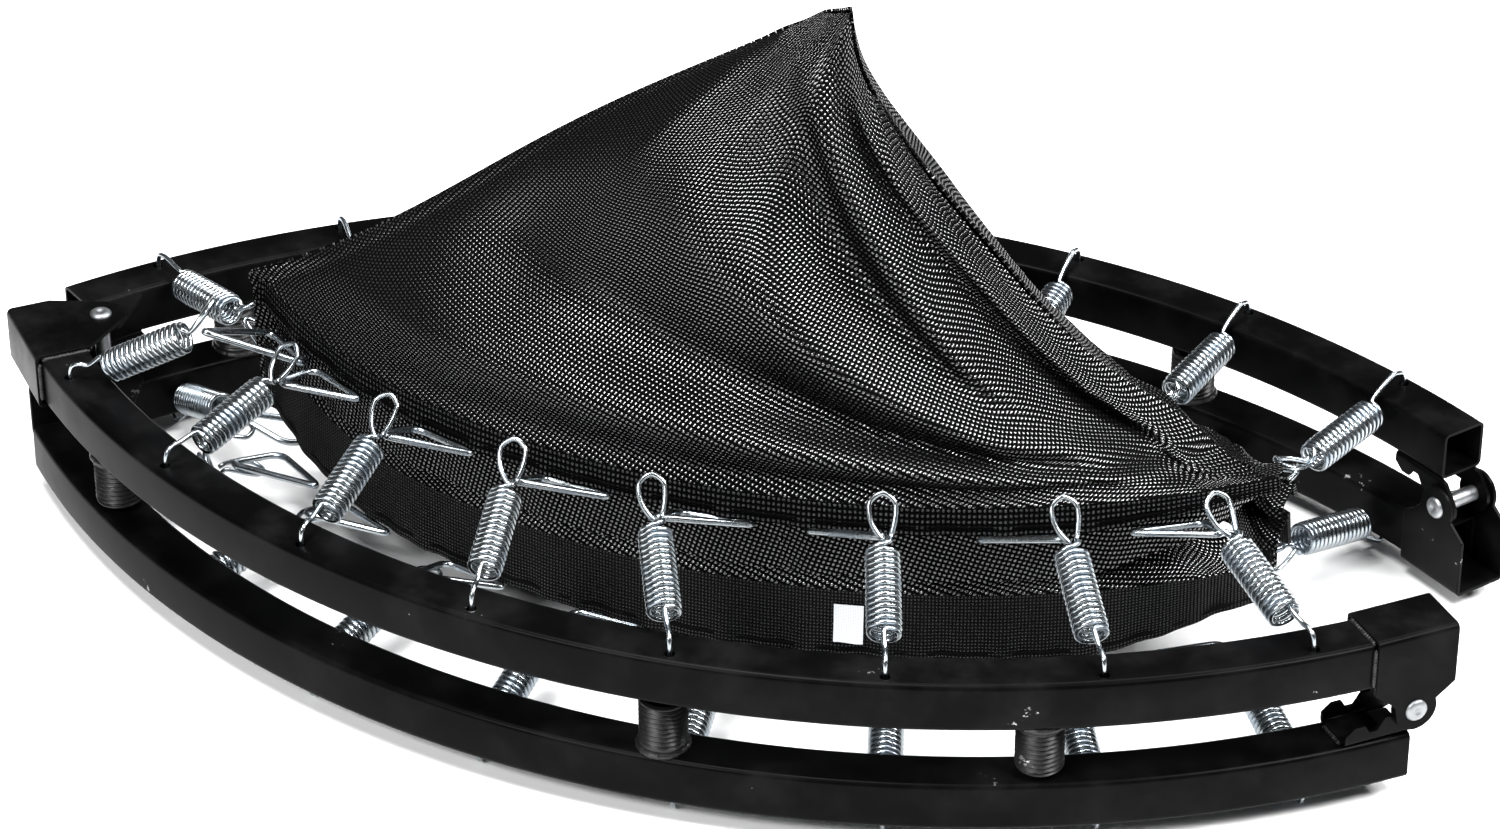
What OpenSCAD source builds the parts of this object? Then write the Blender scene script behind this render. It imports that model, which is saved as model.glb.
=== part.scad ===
// Folding mini trampoline, folded to a quarter of its ring and ready to carry.
// Four quarter tubes lie in two layers. In each layer a corner pin joins the front and the back
// tube, and two fold pins join the layers at the open end. Open, the four tubes make one flat ring.

/* [Ring] */
// Outer diameter of the opened ring
ring_od = 1016; // [900:4:1200]
// Side of the square tube
tube = 25; // [22:0.5:30]
// Wall of the tube
tube_wall = 1.5; // [1:0.1:3]
// Outer corner radius of the tube
tube_round = 3; // [2:0.5:5]
// Gap between the two layers of tube
layer_gap = 29.5; // [26:0.5:40]
// Angle at which each half of the folded lens leans away from the middle
fold_open = 5.625; // [4:0.125:7.5]

/* [Hinges] */
// Sheet thickness of the hinge plates
plate = 2; // [1.5:0.1:2.5]
// Free space between a hinge plate and what moves in it
clearance = 0.3; // [0.2:0.05:0.5]
// Diameter of the hinge rivets
rivet_d = 8; // [6:0.5:9]
// Diameter of the rivet heads
rivet_head_d = 11; // [10:0.5:14]
// Height of the rivet heads
rivet_head_h = 2; // [1:0.1:3]
// Distance from the tube's inner face to the corner pin
corner_pin_inset = 15; // [14:0.5:20]
// Length of the corner channel along its own tube
channel_lap = 28; // [22:1:36]
// Length by which the corner channel covers the other tube
channel_cover = 24; // [18:1:32]
// Radius of the channel's nose round the corner pin
channel_nose_r = 13; // [12:0.5:14]
// Radius of the tongue's nose round the corner pin
tongue_nose_r = 12; // [10:0.5:12.5]
// Length of the corner tongue along its tube
tongue_lap = 28; // [20:1:34]
// Length of the fold sleeve over its own tube
sleeve_lap = 22; // [16:1:30]
// Length by which the fold sleeve covers the other tube
sleeve_cover = 20; // [14:1:28]
// Radius of the sleeve's cheeks round the fold pin
cheek_r = 11; // [9:0.5:13]
// Radius of the fold tongue's ears round the fold pin
ear_r = 10; // [8:0.5:11]
// Length of the fold tongue along its tube
ear_lap = 34; // [26:1:44]

/* [Leg studs] */
// Diameter of the threaded leg studs
stud_d = 23; // [18:0.5:24]
// Bore of the leg studs
stud_bore = 17; // [12:0.5:17.5]
// Length of the leg studs
stud_h = 26; // [20:0.5:26]

/* [Springs] */
// Springs on one quarter of the ring
springs_per_quarter = 8; // [4:1:9]
// Diameter of the hook holes
hook_hole_d = 5; // [4:0.25:6]
// Distance of the hook holes outside the tube's middle
hook_offset = 6; // [3:0.5:7]
// Outer diameter of the spring coil
coil_d = 19; // [16:0.5:20]
// Length of the coiled part of a spring
coil_len = 50; // [40:1:52]
// Distance from the hook hole to the first turn
hook_reach = 23; // [22.5:0.5:26]
// Length of the drawn-out loop at the mat end
loop_len = 23; // [18:1:28]
// Width of the drawn-out loop
loop_w = 9; // [7:0.5:11]
// Wire diameter of the springs
spring_wire = 2.6; // [2:0.1:2.6]
// Turns of a spring
spring_turns = 15; // [10:1:15]
// Wire diameter of the V-rings
ring_wire = 4; // [3:0.1:4.5]
// Side length of a V-ring
ring_side = 42; // [34:1:44]
// Distance from the end of the coil to the V-ring that hangs in the loop
ring_seat_reach = 7; // [5:0.5:12]

/* [Mat] */
// Free space between the springs' loops and the hem
loop_gap = 1.2; // [0.8:0.1:6]
// Height of the gathered middle of the mat over the top layer
peak_rise = 228; // [190:2:250]
// Place of the peak along the folded lens, from its middle
peak_x = 26; // [10:1:40]
// Thickness of a layer of the mat, measured upright
mat_thick = 2.5; // [1.5:0.1:3]
// Height of the hem on the top half of the mat
hem_top_h = 12; // [8:1:14]
// Height of the hem on the bottom half of the mat
hem_bottom_h = 34; // [20:1:36]
// Thickness of the stitched hem
hem_thick = 2; // [1.5:0.1:3]
// Width of the care tag
tag_w = 14; // [10:1:24]
// Height of the care tag
tag_h = 20; // [12:1:26]

/* [Hidden] */

black = [0.05, 0.05, 0.055];
zinc = [0.72, 0.76, 0.78];
web_black = [0.08, 0.08, 0.085];
tag_white = [0.85, 0.86, 0.88];
eps = 0.01;

// Ring sizes, in the frame of one quarter: its circle's centre at the origin, the corner end at
// angle 0, the fold end at angle 90, and the middle of the gap between the layers at z = 0.
r_out = ring_od / 2;
r_in = r_out - tube;
r_mid = r_out - tube / 2;
r_pin = r_in - corner_pin_inset;
r_hook = r_mid + hook_offset;
coil_end = hook_reach + coil_len;
loop_end = coil_end + loop_len;
ring_seat = coil_end + ring_seat_reach;
rim_r = r_hook - loop_end - spring_wire / 2 - loop_gap;
z_low = layer_gap / 2;
z_high = z_low + tube;
end_gap = asin(clearance / r_mid);
spring_step = 90 / springs_per_quarter;

// The folded lens: both circles' centres lie this far from the middle plane
quarter_turn = 45 + fold_open;
centre_y = r_pin * cos(quarter_turn);

// The tube bends away from a straight plate by this much over the length of its lap
function sag(lap, r) = r - sqrt(r * r - lap * lap);

plate_top = z_high + clearance + plate;
channel_web = r_out + clearance;
sleeve_in = r_in - sag(sleeve_lap, r_in) - clearance;
sleeve_out = r_out + clearance;
ear_in = r_in + 0.2;
ear_out = r_out - sag(ear_lap, r_out) - 0.2;
tongue_face = r_in - sag(tongue_lap, r_in) - 0.1;
bore_r = rivet_d / 2 + 0.05;

// Springs: each list goes from the corner end to the fold end.
// Swing is the turn of a spring away from the radius, tilt is its rise towards the mat.
swing_top_front = [-38, 9, 12, 15, 23, 5, 5, 12];
tilt_top_front = [28, 12, 17, 21, 24, 25, 23, 18];
swing_top_back = [-10, -4, 0, 0, 0, 0, -2, -4];
tilt_top_back = [6, 0, -4, -7, -9, -10, -9, -9];
swing_bottom_back = [-4, 0, 2, 2, 2, 2, 2, 0];
tilt_bottom_back = [-20, -18, -16, -14, -14, -13, -12, -11];
swing_bottom_front = [-14, -3, 0, 2, 2, 2, 2, 0];
tilt_bottom_front = [-12, -16, -16, -14, -14, -13, -12, -11];
// The axis of a coil meets the line of its hook hole this far under the tube's face
axis_drop = 3;
// A hook leans on the inner side of its hole, and a V-ring hangs this close to its seat
seat_gap = 0.3;
// A body without turns starts this far behind the first turn, so that a steep one clears its tube
body_setback = 2.5;
// Springs from this one to this one on the top front tube are drawn with their turns
wound_first = 3;
wound_last = 6;
wire_sides = 6;
points_per_turn = 8;
hook_rise = 9.5;

// Mat: rises of the edges of its sheets, of its folded corner and of the peak over the face of the
// top layer, or over the upper face of the gap for the bottom sheets' edge
front_rise = 27;
back_rise = -7;
bottom_rise = 2;
corner_rise = 40;
inner_corner_rise = 6;
inner_peak_drop = 9;
rim_top_front = z_high + front_rise;
rim_top_back = z_high + back_rise;
rim_bottom = z_low + bottom_rise;
corner_top = z_high + corner_rise;
corner_bottom = z_high + inner_corner_rise;
peak_top = z_high + peak_rise;
peak_bottom = peak_top - inner_peak_drop;
// Angles of the mat's edge about the ring's centre, from the middle of the lens
rim_left = -44;
rim_right = 37;
hem_start = 0.1;
hem_first = quarter_turn + rim_left + 2.5;
// Least distance of each side of the mat from the middle plane
mid_gap = 1.5;
// Distance of the bottom sheets' edge inside the top sheets' edge
nest = 2;
// Drop of the loose fold line between its ends, on the front and on the back side
drop_front = 54;
drop_back = 36;
// Depth and count of the soft folds of the top half
fold_depth = 5;
fold_count = 3;
mat_columns = 12;
mat_rows = 6;
peak_share = 0.97;
// Heights of the hems' lower edges, each in the frame of its quarter
top_front_edge = rim_top_front - mat_thick - seat_gap - hem_top_h;
top_back_edge = rim_top_back - mat_thick - seat_gap - hem_top_h;
bottom_edge = mat_thick + seat_gap + hem_bottom_h - rim_bottom;

// Reach of the corner channel to the left and of the fold sleeve to the right of the lens's middle
far_left = (channel_web + plate) * sin(quarter_turn) + channel_cover * cos(quarter_turn);
far_right = (sleeve_out + plate) * cos(quarter_turn) + sleeve_cover * sin(quarter_turn);
// The origin is the middle of the folded ring's base. It stands on the hooks of its bottom springs,
// whose tops are worn flat this deep.
rest_flat = 0.5;
shift_x = (far_left - far_right) / 2;
shift_z = z_high + hook_rise + spring_wire / 2 - rest_flat;

// ---------------------------------------------------------------- placing

// Puts a quarter's own frame where that quarter lies in the folded trampoline
module place(layer, side)
    translate([shift_x, 0, shift_z])
        mirror([0, side == "back" ? 1 : 0, 0])
            mirror([0, 0, layer == "bottom" ? 1 : 0])
                translate([0, centre_y, 0])
                    rotate(-90 - quarter_turn)
                        children();

// The fold end of a quarter: x is the radius, y runs past the end of the tube
module at_fold() rotate(90) children();

// Stands a drawing of the y-z plane up and thickens it along the radius from x0 to x1
module along_radius(x0, x1)
    translate([x0, 0, 0])
        rotate([90, 0, 90])
            linear_extrude(x1 - x0)
                children();

// ---------------------------------------------------------------- wires and sheets

function unit(v) = v / norm(v);

function flat_normal(v, t) = unit(v - (v * t) * t);

function path_tangents(p) = [
    for (i = [0:len(p) - 1])
        unit(p[min(i + 1, len(p) - 1)] - p[max(i - 1, 0)])
];

// Normals carried along the path, each one the last one turned as little as the bend allows
function path_normals(t, start) = [
    for (i = 0, n = flat_normal(start, t[0]); i < len(t);
         i = i + 1, n = i < len(t) ? flat_normal(n, t[i]) : n) n
];

function ring_of(c, t, n, r, sides) = [
    for (j = [0:sides - 1])
        let (a = 360 * j / sides)
            c + r * (cos(a) * n + sin(a) * cross(t, n))
];

// A tube along points p with a radius at each point and two triangles a side between rings
module tube_along(p, radii, sides, start) {
    t = path_tangents(p);
    n = path_normals(t, start);
    rings = [for (i = [0:len(p) - 1]) each ring_of(p[i], t[i], n[i], radii[i], sides)];
    last = len(p) - 1;
    walls = [
        for (i = [0:last - 1], j = [0:sides - 1])
            let (a = i * sides + j, b = i * sides + (j + 1) % sides)
                each [[a, a + sides, b], [b, a + sides, b + sides]]
    ];
    first_cap = [for (j = [1:sides - 2]) [0, j, j + 1]];
    last_cap = [for (j = [1:sides - 2]) [last * sides, last * sides + j + 1, last * sides + j]];
    polyhedron(rings, concat(walls, first_cap, last_cap));
}

// A closed loop of wire through the points of a flat figure whose normal is given
module closed_wire(p, r, sides, normal) {
    count = len(p);
    rings = [
        for (i = [0:count - 1])
            let (
                t = unit(p[(i + 1) % count] - p[(i + count - 1) % count]),
                n = flat_normal(normal, t)
            )
                each ring_of(p[i], t, n, r, sides)
    ];
    total = count * sides;
    walls = [
        for (i = [0:count - 1], j = [0:sides - 1])
            let (
                a = i * sides + j,
                b = i * sides + (j + 1) % sides,
                c = (a + sides) % total,
                d = (b + sides) % total
            )
                each [[a, c, b], [b, c, d]]
    ];
    polyhedron(rings, walls);
}

// A closed slab between two grids of points, each a list of rows
module slab(outer, inner) {
    rows = len(outer);
    cols = len(outer[0]);
    count = rows * cols;
    points = concat([for (row = outer) each row], [for (row = inner) each row]);
    faces = [
        for (i = [0:rows - 2], j = [0:cols - 2])
            let (a = i * cols + j, b = a + 1, c = a + cols, d = c + 1)
                each [
                    [a, c, b], [b, c, d],
                    [count + a, count + b, count + c], [count + b, count + d, count + c]
                ]
    ];
    edge = concat(
        [for (j = [0:cols - 1]) j],
        [for (i = [1:rows - 1]) i * cols + cols - 1],
        [for (j = [cols - 2:-1:0]) (rows - 1) * cols + j],
        [for (i = [rows - 2:-1:1]) i * cols]
    );
    sides = [
        for (k = [0:len(edge) - 1])
            let (a = edge[k], b = edge[(k + 1) % len(edge)])
                each [[a, b, count + a], [b, count + b, count + a]]
    ];
    polyhedron(points, concat(faces, sides));
}

// ---------------------------------------------------------------- ring tube

module square_section(side, corner) {
    square([side - 2 * corner, side], center = true);
    square([side, side - 2 * corner], center = true);
    for (x = [-1, 1], y = [-1, 1])
        translate([x, y] * (side / 2 - corner))
            circle(r = corner, $fn = 16);
}

function hook_angle(i) = (i + 0.5) * spring_step;

module quarter_tube()
    color(black)
        difference() {
            translate([0, 0, z_low + tube / 2])
                rotate(end_gap)
                    rotate_extrude(angle = 90 - 2 * end_gap, $fn = 64)
                        translate([r_mid, 0])
                            difference() {
                                square_section(tube, tube_round);
                                square(tube - 2 * tube_wall, center = true);
                            }
            for (i = [0:springs_per_quarter - 1])
                rotate(hook_angle(i))
                    translate([r_hook, 0, z_high - tube_wall - 1])
                        cylinder(d = hook_hole_d, h = tube_wall + 2, $fn = 16);
        }

// ---------------------------------------------------------------- corner hinge

module channel_plate()
    linear_extrude(plate)
        difference() {
            union() {
                polygon([
                    [channel_web + plate, -channel_cover], [channel_web + plate, channel_lap],
                    [r_in - 1, channel_lap], [r_pin - 5, tongue_nose_r], [r_pin - 5, -tongue_nose_r],
                    [r_in + 5, -channel_cover]
                ]);
                translate([r_pin, 0])
                    circle(r = channel_nose_r, $fn = 40);
            }
            translate([r_pin, 0])
                circle(r = bore_r, $fn = 32);
        }

module corner_channel()
    color(black) {
        translate([0, 0, plate_top - plate]) channel_plate();
        translate([0, 0, z_low - clearance - plate]) channel_plate();
        translate([channel_web, -channel_cover, z_low - clearance - plate])
            cube([plate, channel_lap + channel_cover, tube + 2 * (plate + clearance)]);
    }

module tongue_plate(thick)
    linear_extrude(thick)
        difference() {
            union() {
                translate([r_pin, 0])
                    circle(r = tongue_nose_r, $fn = 40);
                polygon([
                    [tongue_face, 1], [tongue_face, tongue_lap], [tongue_face - 6, tongue_lap],
                    [r_pin - tongue_nose_r, 0], [r_pin, 0]
                ]);
            }
            translate([r_pin, 0])
                circle(r = bore_r, $fn = 32);
        }

module corner_tongue()
    color(black) {
        translate([0, 0, z_high - plate]) tongue_plate(plate);
        translate([0, 0, z_low]) tongue_plate(plate);
        translate([tongue_face - plate, 1, z_low])
            cube([plate, tongue_lap - 1, tube]);
    }

// A rivet along z from z0 to z1 with a low head past each end
module rivet(z0, z1) {
    translate([0, 0, z0 - eps])
        cylinder(d = rivet_d, h = z1 - z0 + 2 * eps, $fn = 32);
    for (end = [[z0, 180], [z1, 0]])
        translate([0, 0, end[0]])
            rotate([end[1], 0, 0])
                cylinder(d1 = rivet_head_d, d2 = rivet_head_d * 0.62, h = rivet_head_h, $fn = 32);
}

module corner_rivet()
    color(zinc)
        translate([r_pin, 0, 0])
            rivet(z_low - clearance - plate, plate_top);

// ---------------------------------------------------------------- fold hinge

module cheek_outline()
    difference() {
        union() {
            polygon([
                [-sleeve_lap, plate_top], [sleeve_cover, plate_top],
                [sleeve_cover, cheek_r - 1], [cheek_r, 0], [-cheek_r, 0],
                [-sleeve_lap, z_low - plate]
            ]);
            circle(r = cheek_r, $fn = 40);
        }
        circle(r = bore_r, $fn = 32);
    }

module fold_sleeve()
    color(black)
        at_fold() {
            along_radius(sleeve_in - plate, sleeve_in) cheek_outline();
            along_radius(sleeve_out, sleeve_out + plate) cheek_outline();
            translate([sleeve_in - plate, -sleeve_lap, plate_top - plate])
                cube([sleeve_out - sleeve_in + 2 * plate, sleeve_lap + sleeve_cover, plate]);
        }

module ear_outline()
    union() {
        polygon([
            [-ear_lap, z_low], [-2, z_low], [ear_r, 0], [-ear_r, 0], [-ear_lap, z_low - plate]
        ]);
        circle(r = ear_r, $fn = 40);
    }

module fold_tongue()
    color(black)
        at_fold() {
            for (x = [ear_in, ear_out - plate])
                along_radius(x, x + plate)
                    difference() {
                        ear_outline();
                        circle(r = bore_r, $fn = 32);
                    }
            translate([ear_in, -ear_lap, z_low - plate])
                cube([ear_out - ear_in, ear_lap - 12, plate]);
        }

module fold_rivet()
    color(zinc)
        at_fold()
            rotate([0, 90, 0])
                rivet(sleeve_in - plate, sleeve_out + plate);

// Washers fill the room between the cheeks and the ears
module fold_washers()
    color(zinc)
        at_fold()
            rotate([0, 90, 0])
                for (x = [[sleeve_in + 0.1, ear_in - 0.1], [ear_out + 0.1, sleeve_out - 0.1]])
                    translate([0, 0, x[0]])
                        difference() {
                            cylinder(d = rivet_head_d + 3, h = x[1] - x[0], $fn = 32);
                            translate([0, 0, -1])
                                cylinder(r = bore_r, h = x[1] - x[0] + 2, $fn = 32);
                        }

// ---------------------------------------------------------------- leg studs

module leg_studs(angles)
    color(black)
        for (a = angles)
            rotate(a)
                translate([r_mid, 0, z_low - stud_h])
                    difference() {
                        cylinder(d = stud_d, h = stud_h, $fn = 40);
                        translate([0, 0, -1])
                            cylinder(d = stud_bore, h = stud_h + 2, $fn = 32);
                    }

// ---------------------------------------------------------------- springs

// Turns a point of a spring's own frame, x along its axis, by its tilt and sets it at its axis
function tilted(p, tilt) = [
    p[0] * cos(tilt) - p[2] * sin(tilt),
    p[1],
    p[0] * sin(tilt) + p[2] * cos(tilt) - axis_drop
];

wind_r = (coil_d - spring_wire) / 2;
turn_pitch = (coil_len - spring_wire) / spring_turns;

// The hook rises out of its hole, runs level over the tube's edge and turns down to the coil
hook_lean = (hook_hole_d - spring_wire) / 2 - seat_gap;
hook_path = [
    [hook_lean, 0, -tube_wall - 2.5], [hook_lean, 0, hook_rise * 0.55],
    [hook_rise * 0.5, 0, hook_rise], [hook_rise * 1.3, 0, hook_rise]
];

function coil_path(tilt) = [
    for (k = [0:spring_turns * points_per_turn])
        let (a = 90 + 360 * k / points_per_turn)
            tilted([
                hook_reach + spring_wire / 2 + turn_pitch * k / points_per_turn,
                wind_r * cos(a), wind_r * sin(a)
            ], tilt)
];

function loop_path(tilt) = [
    for (p = [
        [coil_end + 3, -loop_w / 2], [loop_end - loop_w / 2, -loop_w / 2], [loop_end, 0],
        [loop_end - loop_w / 2, loop_w / 2], [coil_end + 4, loop_w / 2]
    ])
        tilted([p[0], p[1], 0], tilt)
];

module wound_spring(tilt) {
    path = concat(hook_path, coil_path(tilt), loop_path(tilt));
    tube_along(path, [for (p = path) spring_wire / 2], wire_sides, [0, 1, 0]);
}

// Least gap between turns, measured on the points of the wire's middle line
function least_gap(p, skip) = min([
    for (i = [0:len(p) - 1 - skip], j = [i + skip:min(len(p) - 1, i + 3 * points_per_turn)])
        norm(p[i] - p[j])
]) - spring_wire;

wound_path = concat(hook_path, coil_path(20), loop_path(20));
echo(least_gap_between_turns_mm = least_gap(wound_path, 5));

// A steep spring's hook turns down only past its tube's inner edge
steep = 10.5;
edge_bend = [r_hook - r_in + 1, 0, hook_rise - 3];

// A spring drawn without its turns: the hook, a body of the coil's outer size, and the loop
module plain_spring(tilt) {
    wire = spring_wire / 2;
    body = [
        for (q = [[body_setback - 1.5, 0.3], [body_setback, 1], [coil_len, 1], [coil_len + 1.5, 0.3]])
            [tilted([hook_reach + q[0], 0, 0], tilt), q[1] * coil_d / 2]
    ];
    path = concat(
        [for (p = hook_path) [p, wire]],
        [[tilt < -steep ? edge_bend : tilted([hook_reach - 4, 0, 4], tilt), wire]],
        body,
        [for (p = loop_path(tilt)) [p, wire]]
    );
    tube_along([for (q = path) q[0]], [for (q = path) q[1]], wire_sides, [0, 1, 0]);
}

module springs(swing, tilt, wound = [1, 0])
    color(zinc)
        for (i = [0:springs_per_quarter - 1])
            rotate(hook_angle(i))
                translate([r_hook, 0, z_high])
                    rotate(180 + swing[i % len(swing)])
                        if (i >= wound[0] && i <= wound[1]) wound_spring(tilt[i % len(tilt)]);
                        else plain_spring(tilt[i % len(tilt)]);

// The springs of the bottom layer, with the flats on which the folded ring stands
module standing_springs(swing, tilt)
    difference() {
        springs(swing, tilt);
        translate([0, 0, shift_z])
            cylinder(r = ring_od, h = 10, $fn = 4);
    }

// Place on a spring's axis, in the frame of its quarter
function on_spring(i, swing, tilt, s) =
    let (
        p = tilted([s, 0, 0], tilt),
        turn = hook_angle(i) + 180 + swing
    )
        [r_hook * cos(hook_angle(i)) + p[0] * cos(turn), r_hook * sin(hook_angle(i)) + p[0] * sin(turn),
         z_high + p[2]];

// A V-ring hangs under its spring's loop by one corner, and its side across holds the lower edge of
// the hem, which is at radius edge_r and height edge_z. Way is 1 where the hem rises in the frame of
// the quarter, and -1 on the bottom layer, which lies upside down. The ring sinks just so far
// that it passes under the side of the loop, and further where a swung spring slants over it.
function ring_corners(i, swing, tilt, edge_r, edge_z, way) =
    let (
        seat = on_spring(i, swing, tilt, ring_seat),
        out = (ring_wire / 2 + seat_gap) * sin(45),
        r = edge_r + out,
        z = edge_z - way * out,
        lean = way * (seat[2] - z) + way * tan(tilt) * (norm([seat[0], seat[1]]) - r),
        slant = spring_wire * abs(sin(swing)),
        sink = max(0, (spring_wire + ring_wire) / 2 + seat_gap + slant - lean * loop_w / (2 * ring_side)),
        at = i == 0 ? hem_first : atan2(seat[1], seat[0]),
        turn = (i < springs_per_quarter * 0.6 ? 1 : -1) * asin(ring_side * 0.92 / r)
    )
        [
            seat - [0, 0, way * sink],
            [r * cos(at + turn), r * sin(at + turn), z],
            [r * cos(at), r * sin(at), z]
        ];

// Two points a corner, so that the wire bends round it
function rounded_ring(c) = [
    for (i = [0:2])
        let (to = unit(c[(i + 1) % 3] - c[i]), from = unit(c[(i + 2) % 3] - c[i]))
            each [c[i] + from * ring_wire, c[i] + to * ring_wire]
];

module v_rings(swing, tilt, edge_r, edge_z, way)
    color(zinc)
        for (i = [0:springs_per_quarter - 1]) {
            n = i % len(swing);
            c = ring_corners(i, swing[n], tilt[n], edge_r, edge_z, way);
            closed_wire(rounded_ring(c), ring_wire / 2, 4, cross(c[1] - c[0], c[2] - c[0]));
        }

// ---------------------------------------------------------------- mat

// A point of the mat's edge on the front side of the lens, in the frame of the folded ring. It runs
// from the folded corner at u = 0, which stands higher, to the fold line at u = 1.
function edge_point(u, r, z, corner_z) =
    let (a = rim_left + (rim_right - rim_left) * u)
        [
            r * sin(a), min(-mid_gap, centre_y - r * cos(a)),
            z + (corner_z - z) * pow(max(0, 1 - u / 0.22), 2)
        ];

// A point of a sheet: v runs from the edge to the peak, folds swell it and its fold line drops
function mat_point(u, v, edge, peak_z, folds, drop) =
    let (
        p = edge + v * ([peak_x, -mid_gap, peak_z] - edge),
        swell = folds * sin(180 * v) * (0.5 - 0.5 * cos(360 * fold_count * u))
    )
        [p[0], min(-mid_gap, p[1] - swell), p[2] - drop * u * u * 4 * v * (1 - v)];

function mat_grid(r, z, corner_z, peak_z, folds, drop, down) = [
    for (i = [0:mat_rows])
        [
            for (j = [0:mat_columns])
                let (u = j / mat_columns, edge = edge_point(u, r, z, corner_z))
                    mat_point(u, peak_share * i / mat_rows, edge, peak_z, folds, drop)
                        - [0, 0, down]
        ]
];

// Puts a drawing of the front side where the given side of the folded ring lies
module lens(side)
    translate([shift_x, 0, shift_z])
        mirror([0, side == "back" ? 1 : 0, 0])
            children();

module mat_sheet(side, r, z, corner_z, peak_z, folds, drop)
    color(web_black)
        lens(side)
            slab(
                mat_grid(r, z, corner_z, peak_z, folds, drop, 0),
                mat_grid(r, z, corner_z, peak_z, folds, drop, mat_thick)
            );

// The hem hangs as a stitched band from the edge of its sheet
module hem_band(side, r, z, corner_z, h)
    color(web_black)
        lens(side)
            slab(hem_grid(r, z, corner_z, h), hem_grid(r - hem_thick, z, corner_z, h));

function hem_grid(r, z, corner_z, h) = [
    for (down = [h, 0])
        [
            for (j = [0:mat_columns])
                let (u = hem_start + (1 - hem_start) * j / mat_columns)
                    edge_point(u, r, z, corner_z) - [0, 0, mat_thick + seat_gap + down]
        ]
];

module care_tag()
    color(tag_white)
        lens("front")
            translate([0, centre_y, 0])
                rotate(8)
                    translate([-tag_w / 2, nest - rim_r - 0.7, -tag_h / 2])
                        cube([tag_w, 0.6, tag_h]);

// ---------------------------------------------------------------- nodes

module tube_top_front() place("top", "front") quarter_tube();
module tube_top_back() place("top", "back") quarter_tube();
module tube_bottom_back() place("bottom", "back") quarter_tube();
module tube_bottom_front() place("bottom", "front") quarter_tube();

tube_top_front();
tube_top_back();
tube_bottom_back();
tube_bottom_front();
place("top", "front") corner_channel();  // corner_channel_top
place("bottom", "back") corner_channel();  // corner_channel_bottom
place("top", "back") corner_tongue();  // corner_tongue_top
place("bottom", "front") corner_tongue();  // corner_tongue_bottom
place("top", "front") corner_rivet();  // corner_rivet_top
place("bottom", "back") corner_rivet();  // corner_rivet_bottom
place("top", "front") fold_sleeve();  // fold_sleeve_front
place("bottom", "back") fold_sleeve();  // fold_sleeve_back
place("bottom", "front") fold_tongue();  // fold_tongue_front
place("top", "back") fold_tongue();  // fold_tongue_back
place("top", "front") fold_rivet();  // fold_rivet_front
place("bottom", "back") fold_rivet();  // fold_rivet_back
place("top", "front") fold_washers();  // fold_washers_front
place("bottom", "back") fold_washers();  // fold_washers_back
place("top", "front") leg_studs([10, 70]);  // leg_studs_top_front
place("top", "back") leg_studs([50]);  // leg_stud_top_back
place("bottom", "back") leg_studs([10, 70]);  // leg_studs_bottom_back
place("bottom", "front") leg_studs([50]);  // leg_stud_bottom_front
place("top", "front") springs(swing_top_front, tilt_top_front, [wound_first, wound_last]);  // springs_top_front
place("top", "back") springs(swing_top_back, tilt_top_back);  // springs_top_back
place("bottom", "back") standing_springs(swing_bottom_back, tilt_bottom_back);  // springs_bottom_back
place("bottom", "front") standing_springs(swing_bottom_front, tilt_bottom_front);  // springs_bottom_front
place("top", "front")  // v_rings_top_front
        v_rings(swing_top_front, tilt_top_front, rim_r, top_front_edge, 1);
place("top", "back")  // v_rings_top_back
        v_rings(swing_top_back, tilt_top_back, rim_r, top_back_edge, 1);
place("bottom", "back")  // v_rings_bottom_back
        v_rings(swing_bottom_back, tilt_bottom_back, rim_r - nest, bottom_edge, -1);
place("bottom", "front")  // v_rings_bottom_front
        v_rings(swing_bottom_front, tilt_bottom_front, rim_r - nest, bottom_edge, -1);
mat_sheet("front", rim_r, rim_top_front, corner_top, peak_top, fold_depth, drop_front);  // mat_top_front
mat_sheet("back", rim_r, rim_top_back, corner_top, peak_top, fold_depth, drop_back);  // mat_top_back
mat_sheet("back", rim_r - nest, rim_bottom, corner_bottom, peak_bottom, 0, drop_back);  // mat_bottom_back
mat_sheet("front", rim_r - nest, rim_bottom, corner_bottom, peak_bottom, 0, drop_front);  // mat_bottom_front
hem_band("front", rim_r, rim_top_front, corner_top, hem_top_h);  // hem_top_front
hem_band("back", rim_r, rim_top_back, corner_top, hem_top_h);  // hem_top_back
hem_band("back", rim_r - nest, rim_bottom, corner_bottom, hem_bottom_h);  // hem_bottom_back
hem_band("front", rim_r - nest, rim_bottom, corner_bottom, hem_bottom_h);  // hem_bottom_front
care_tag();
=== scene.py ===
"""Looks of a folding mini trampoline that is folded to a quarter of its ring.

Shapes are worked out in millimetres in the frame of one quarter of the ring: its circle's centre at the
origin, the corner end at angle 0, the fold end at angle 90, and the gap between the two layers at z = 0.
The mat is worked out in the frame of the folded lens: x along it, y towards the back, z over that gap.
"""

import logging
import math
from dataclasses import dataclass, field
from enum import Enum
from itertools import accumulate

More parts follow.
